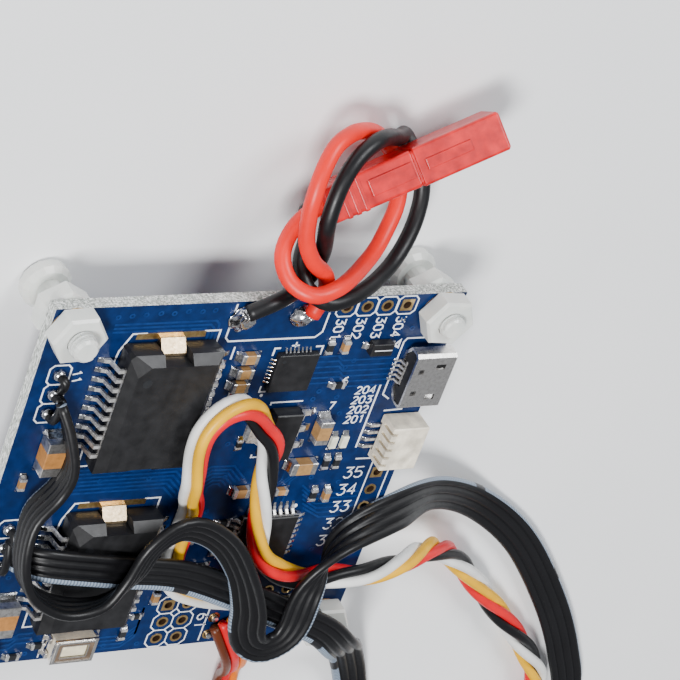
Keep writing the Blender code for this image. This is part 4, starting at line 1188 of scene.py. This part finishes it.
def make_button_tabs():
    """Corner feet and side tabs of the reset button's metal frame."""
    x, y = -9.95, -22.6
    mesh = bmesh.new()
    for sx in (-1, 1):
        for sy in (-1, 1):
            a, b = sorted((x + sx * 2.66, x + sx * 3.05))
            c, d = sorted((y + sy * 0.75, y + sy * 1.45))
            put_box(mesh, (a, c, TOP + 0.06), (b, d, TOP + 1.0))
            a, b = sorted((x + sx * 2.66, x + sx * 3.5))
            put_box(mesh, (a, c, TOP + 0.04), (b, d, TOP + 0.22))
    new_piece("button_feet", mesh, [STEEL], bevel=0.05)
    mesh = bmesh.new()
    outer = [(x + a, y + b) for a, b in rounded_rectangle(2.5, 1.55, 0.3)]
    inner = [(x + a, y + b) for a, b in rounded_rectangle(2.2, 1.3, 0.2)]
    put_annulus(mesh, outer, inner, TOP + 1.76, TOP + 1.9)
    new_piece("button_rim", mesh, [STEEL], bevel=0.04)
    # A dark ring between the rim and the key: painted shade in the recess round the key, not a part of the
    # button.
    mesh = bmesh.new()
    inner_edge = [(x + a, y + b) for a, b in rounded_rectangle(1.75, 0.98, 0.2)]
    put_annulus(mesh, inner, inner_edge, TOP + 1.755, TOP + 1.79)
    new_piece("button_shade", mesh, [PAINTED_RECESS_SHADE])


def make_pin_sleeves():
    """Header pins of the remote lead's row, under its cores, and solder round the motor holes."""
    mesh = bmesh.new()
    for k in range(3):
        y = -18.6 - k * PIN
        put_prism(mesh, circle((8.2, y), 0.42, 10), TOP - 0.4, TOP + 0.5, 0)
    new_piece("remote_solder", mesh, [SOLDER], bevel=0.1)
    mesh = bmesh.new()
    for first in (16.3, -4.85):
        for k in range(3):
            y = first - k * PIN
            profile = [(0.8, TOP + 0.05), (0.62, TOP + 0.3), (0.5, TOP + 0.55)]
            rings = [put_loop(mesh, [(*p, z) for p in circle((-22.2, y), r, 14)]) for r, z in profile]
            for a, b in zip(rings, rings[1:]):
                bridge(mesh, a, b)
            for cap in (rings[0], rings[-1]):
                mesh.faces.new(cap)
    new_piece("motor_solder", mesh, [SOLDER], smooth=True)


def make_chip_marks():
    """Round mould marks and pin-one dots on the chips' tops."""
    mesh = bmesh.new()
    for x, y in DRIVERS:
        put_prism(mesh, circle((x - 3.2, y + 4.9), 0.55, 24), TOP + 3.395, TOP + 3.41)
    put_prism(mesh, circle((7.6, -6.4), 0.4, 20), TOP + 1.145, TOP + 1.16)
    put_prism(mesh, circle((4.1, 17.1), 0.25, 16), TOP + 0.845, TOP + 0.86)
    new_piece("chip_marks", mesh, [RESISTOR_FACE])


make_ink()
make_gold()
make_tracks()
make_small_parts()
make_diode_ends()
make_threads()
make_button_tabs()
make_pin_sleeves()
make_chip_marks()
make_blob("joint_red", (4.6, 22.8), (1.2, 1.3, 1.15), (0.3, 0.6), "solder_joint_red")
make_blob("joint_black", (-2.7, 22.7), (1.25, 1.6, 1.35), (0.3, 0.9), "solder_joint_black")


# ---------------------------------------------------------------- finishes of the CAD nodes
NODE_FINISHES = {
    "circuit_board": (MASK, 0.0),
    "usb_bridge_chip": (RESIN, 0.05),
    "processor_body": (RESIN, 0.05),
    "processor_leads": (TIN, 0.0),
    "regulator_body": (RESIN, 0.08),
    "regulator_leads": (TIN, 0.04),
    "regulator_tab": (TIN, 0.04),
    "usb_shell": (STEEL, 0.08),
    "usb_insulator": (RESIN, 0.05),
    "usb_contacts": (TIN, 0.0),
    "sensor_socket_housing": (BEIGE, 0.08),
    "sensor_socket_contacts": (TIN, 0.03),
    "reset_button_base": (BEIGE, 0.05),
    "reset_button_frame": (STEEL, 0.06),
    "reset_button_key": (KEY_BEIGE, 0.08),
    "motor_capacitor_north": (BIG_CLAY, 0.12),
    "motor_capacitor_south": (BIG_CLAY, 0.12),
    "input_capacitor_1": (CLAY_X, 0.06),
    "input_capacitor_2": (CLAY_X, 0.06),
    "input_capacitor_3": (CLAY_X, 0.06),
    "regulator_capacitor_east": (CLAY_Y, 0.08),
    "regulator_capacitor_south": (CLAY_X, 0.08),
    "power_diode": (RESIN, 0.08),
    "power_lamp": (LAMP, 0.05),
    "status_lamp": (LAMP, 0.05),
    "plug_contact_red": (TIN, 0.05),
    "plug_contact_black": (TIN, 0.05),
    "motor_plug_north": (RESIN, 0.2),
    "motor_plug_south": (RESIN, 0.2),
    "remote_plug": (RESIN, 0.2),
    "sensor_plug": (BEIGE, 0.15),
}
for corner in ("nw", "ne", "sw", "se"):
    NODE_FINISHES[f"screw_{corner}"] = (NYLON, 0.12)
    NODE_FINISHES[f"top_nut_{corner}"] = (NYLON, 0.22)
    NODE_FINISHES[f"spacer_nut_{corner}"] = (NYLON, 0.22)
for place in ("north", "south"):
    NODE_FINISHES[f"driver_{place}_body"] = (RESIN, 0.12)
    NODE_FINISHES[f"driver_{place}_slug"] = (COPPER_SLUG, 0.12)
    NODE_FINISHES[f"driver_{place}_leads_west"] = (TIN, 0.05)
    NODE_FINISHES[f"driver_{place}_leads_east"] = (TIN, 0.05)


def finish_nodes():
    for name, (finish, bevel) in NODE_FINISHES.items():
        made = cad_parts[name]
        made.data.materials.clear()
        made.data.materials.append(finish)
        if bevel:
            add_bevel(made, bevel, 3)


finish_nodes()


# ---------------------------------------------------------------- stage
def make_stage():
    mesh = bmesh.new()
    bmesh.ops.create_grid(mesh, x_segments=1, y_segments=1, size=1.5)
    data = bpy.data.meshes.new("floor")
    mesh.to_mesh(data)
    mesh.free()
    paper = Finish("floor_paper", (0.86, 0.87, 0.88), 0.7)
    paper.color(paper.ramp(paper.noise(30, 2), [(0.3, (0.84, 0.85, 0.86)), (0.7, (0.88, 0.885, 0.89))]))
    data.materials.append(paper.material)
    floor = bpy.data.objects.new("floor", data)
    floor.location.z = -0.00005
    bpy.context.scene.collection.objects.link(floor)


def make_light(name, spot, size, power, tint=(1, 1, 1)):
    data = bpy.data.lights.new(name, "AREA")
    data.shape = "RECTANGLE"
    data.size, data.size_y = size
    data.energy = power
    data.color = tint
    light = bpy.data.objects.new(name, data)
    light.location = spot
    aim = Vector((0.01, 0.0, 0.008)) - Vector(spot)
    light.rotation_euler = aim.to_track_quat("-Z", "Y").to_euler()
    bpy.context.scene.collection.objects.link(light)


def make_lighting():
    world = bpy.data.worlds.new("studio")
    world.use_nodes = True
    background = world.node_tree.nodes["Background"]
    background.inputs["Color"].default_value = (0.93, 0.95, 1.0, 1.0)
    background.inputs["Strength"].default_value = 0.32
    bpy.context.scene.world = world
    make_light("key", (-0.45, 0.05, 0.65), (0.22, 0.22), 9.5)
    make_light("fill", (0.25, 0.6, 0.5), (0.35, 0.3), 6.0, (0.96, 0.98, 1.0))


make_stage()
make_lighting()
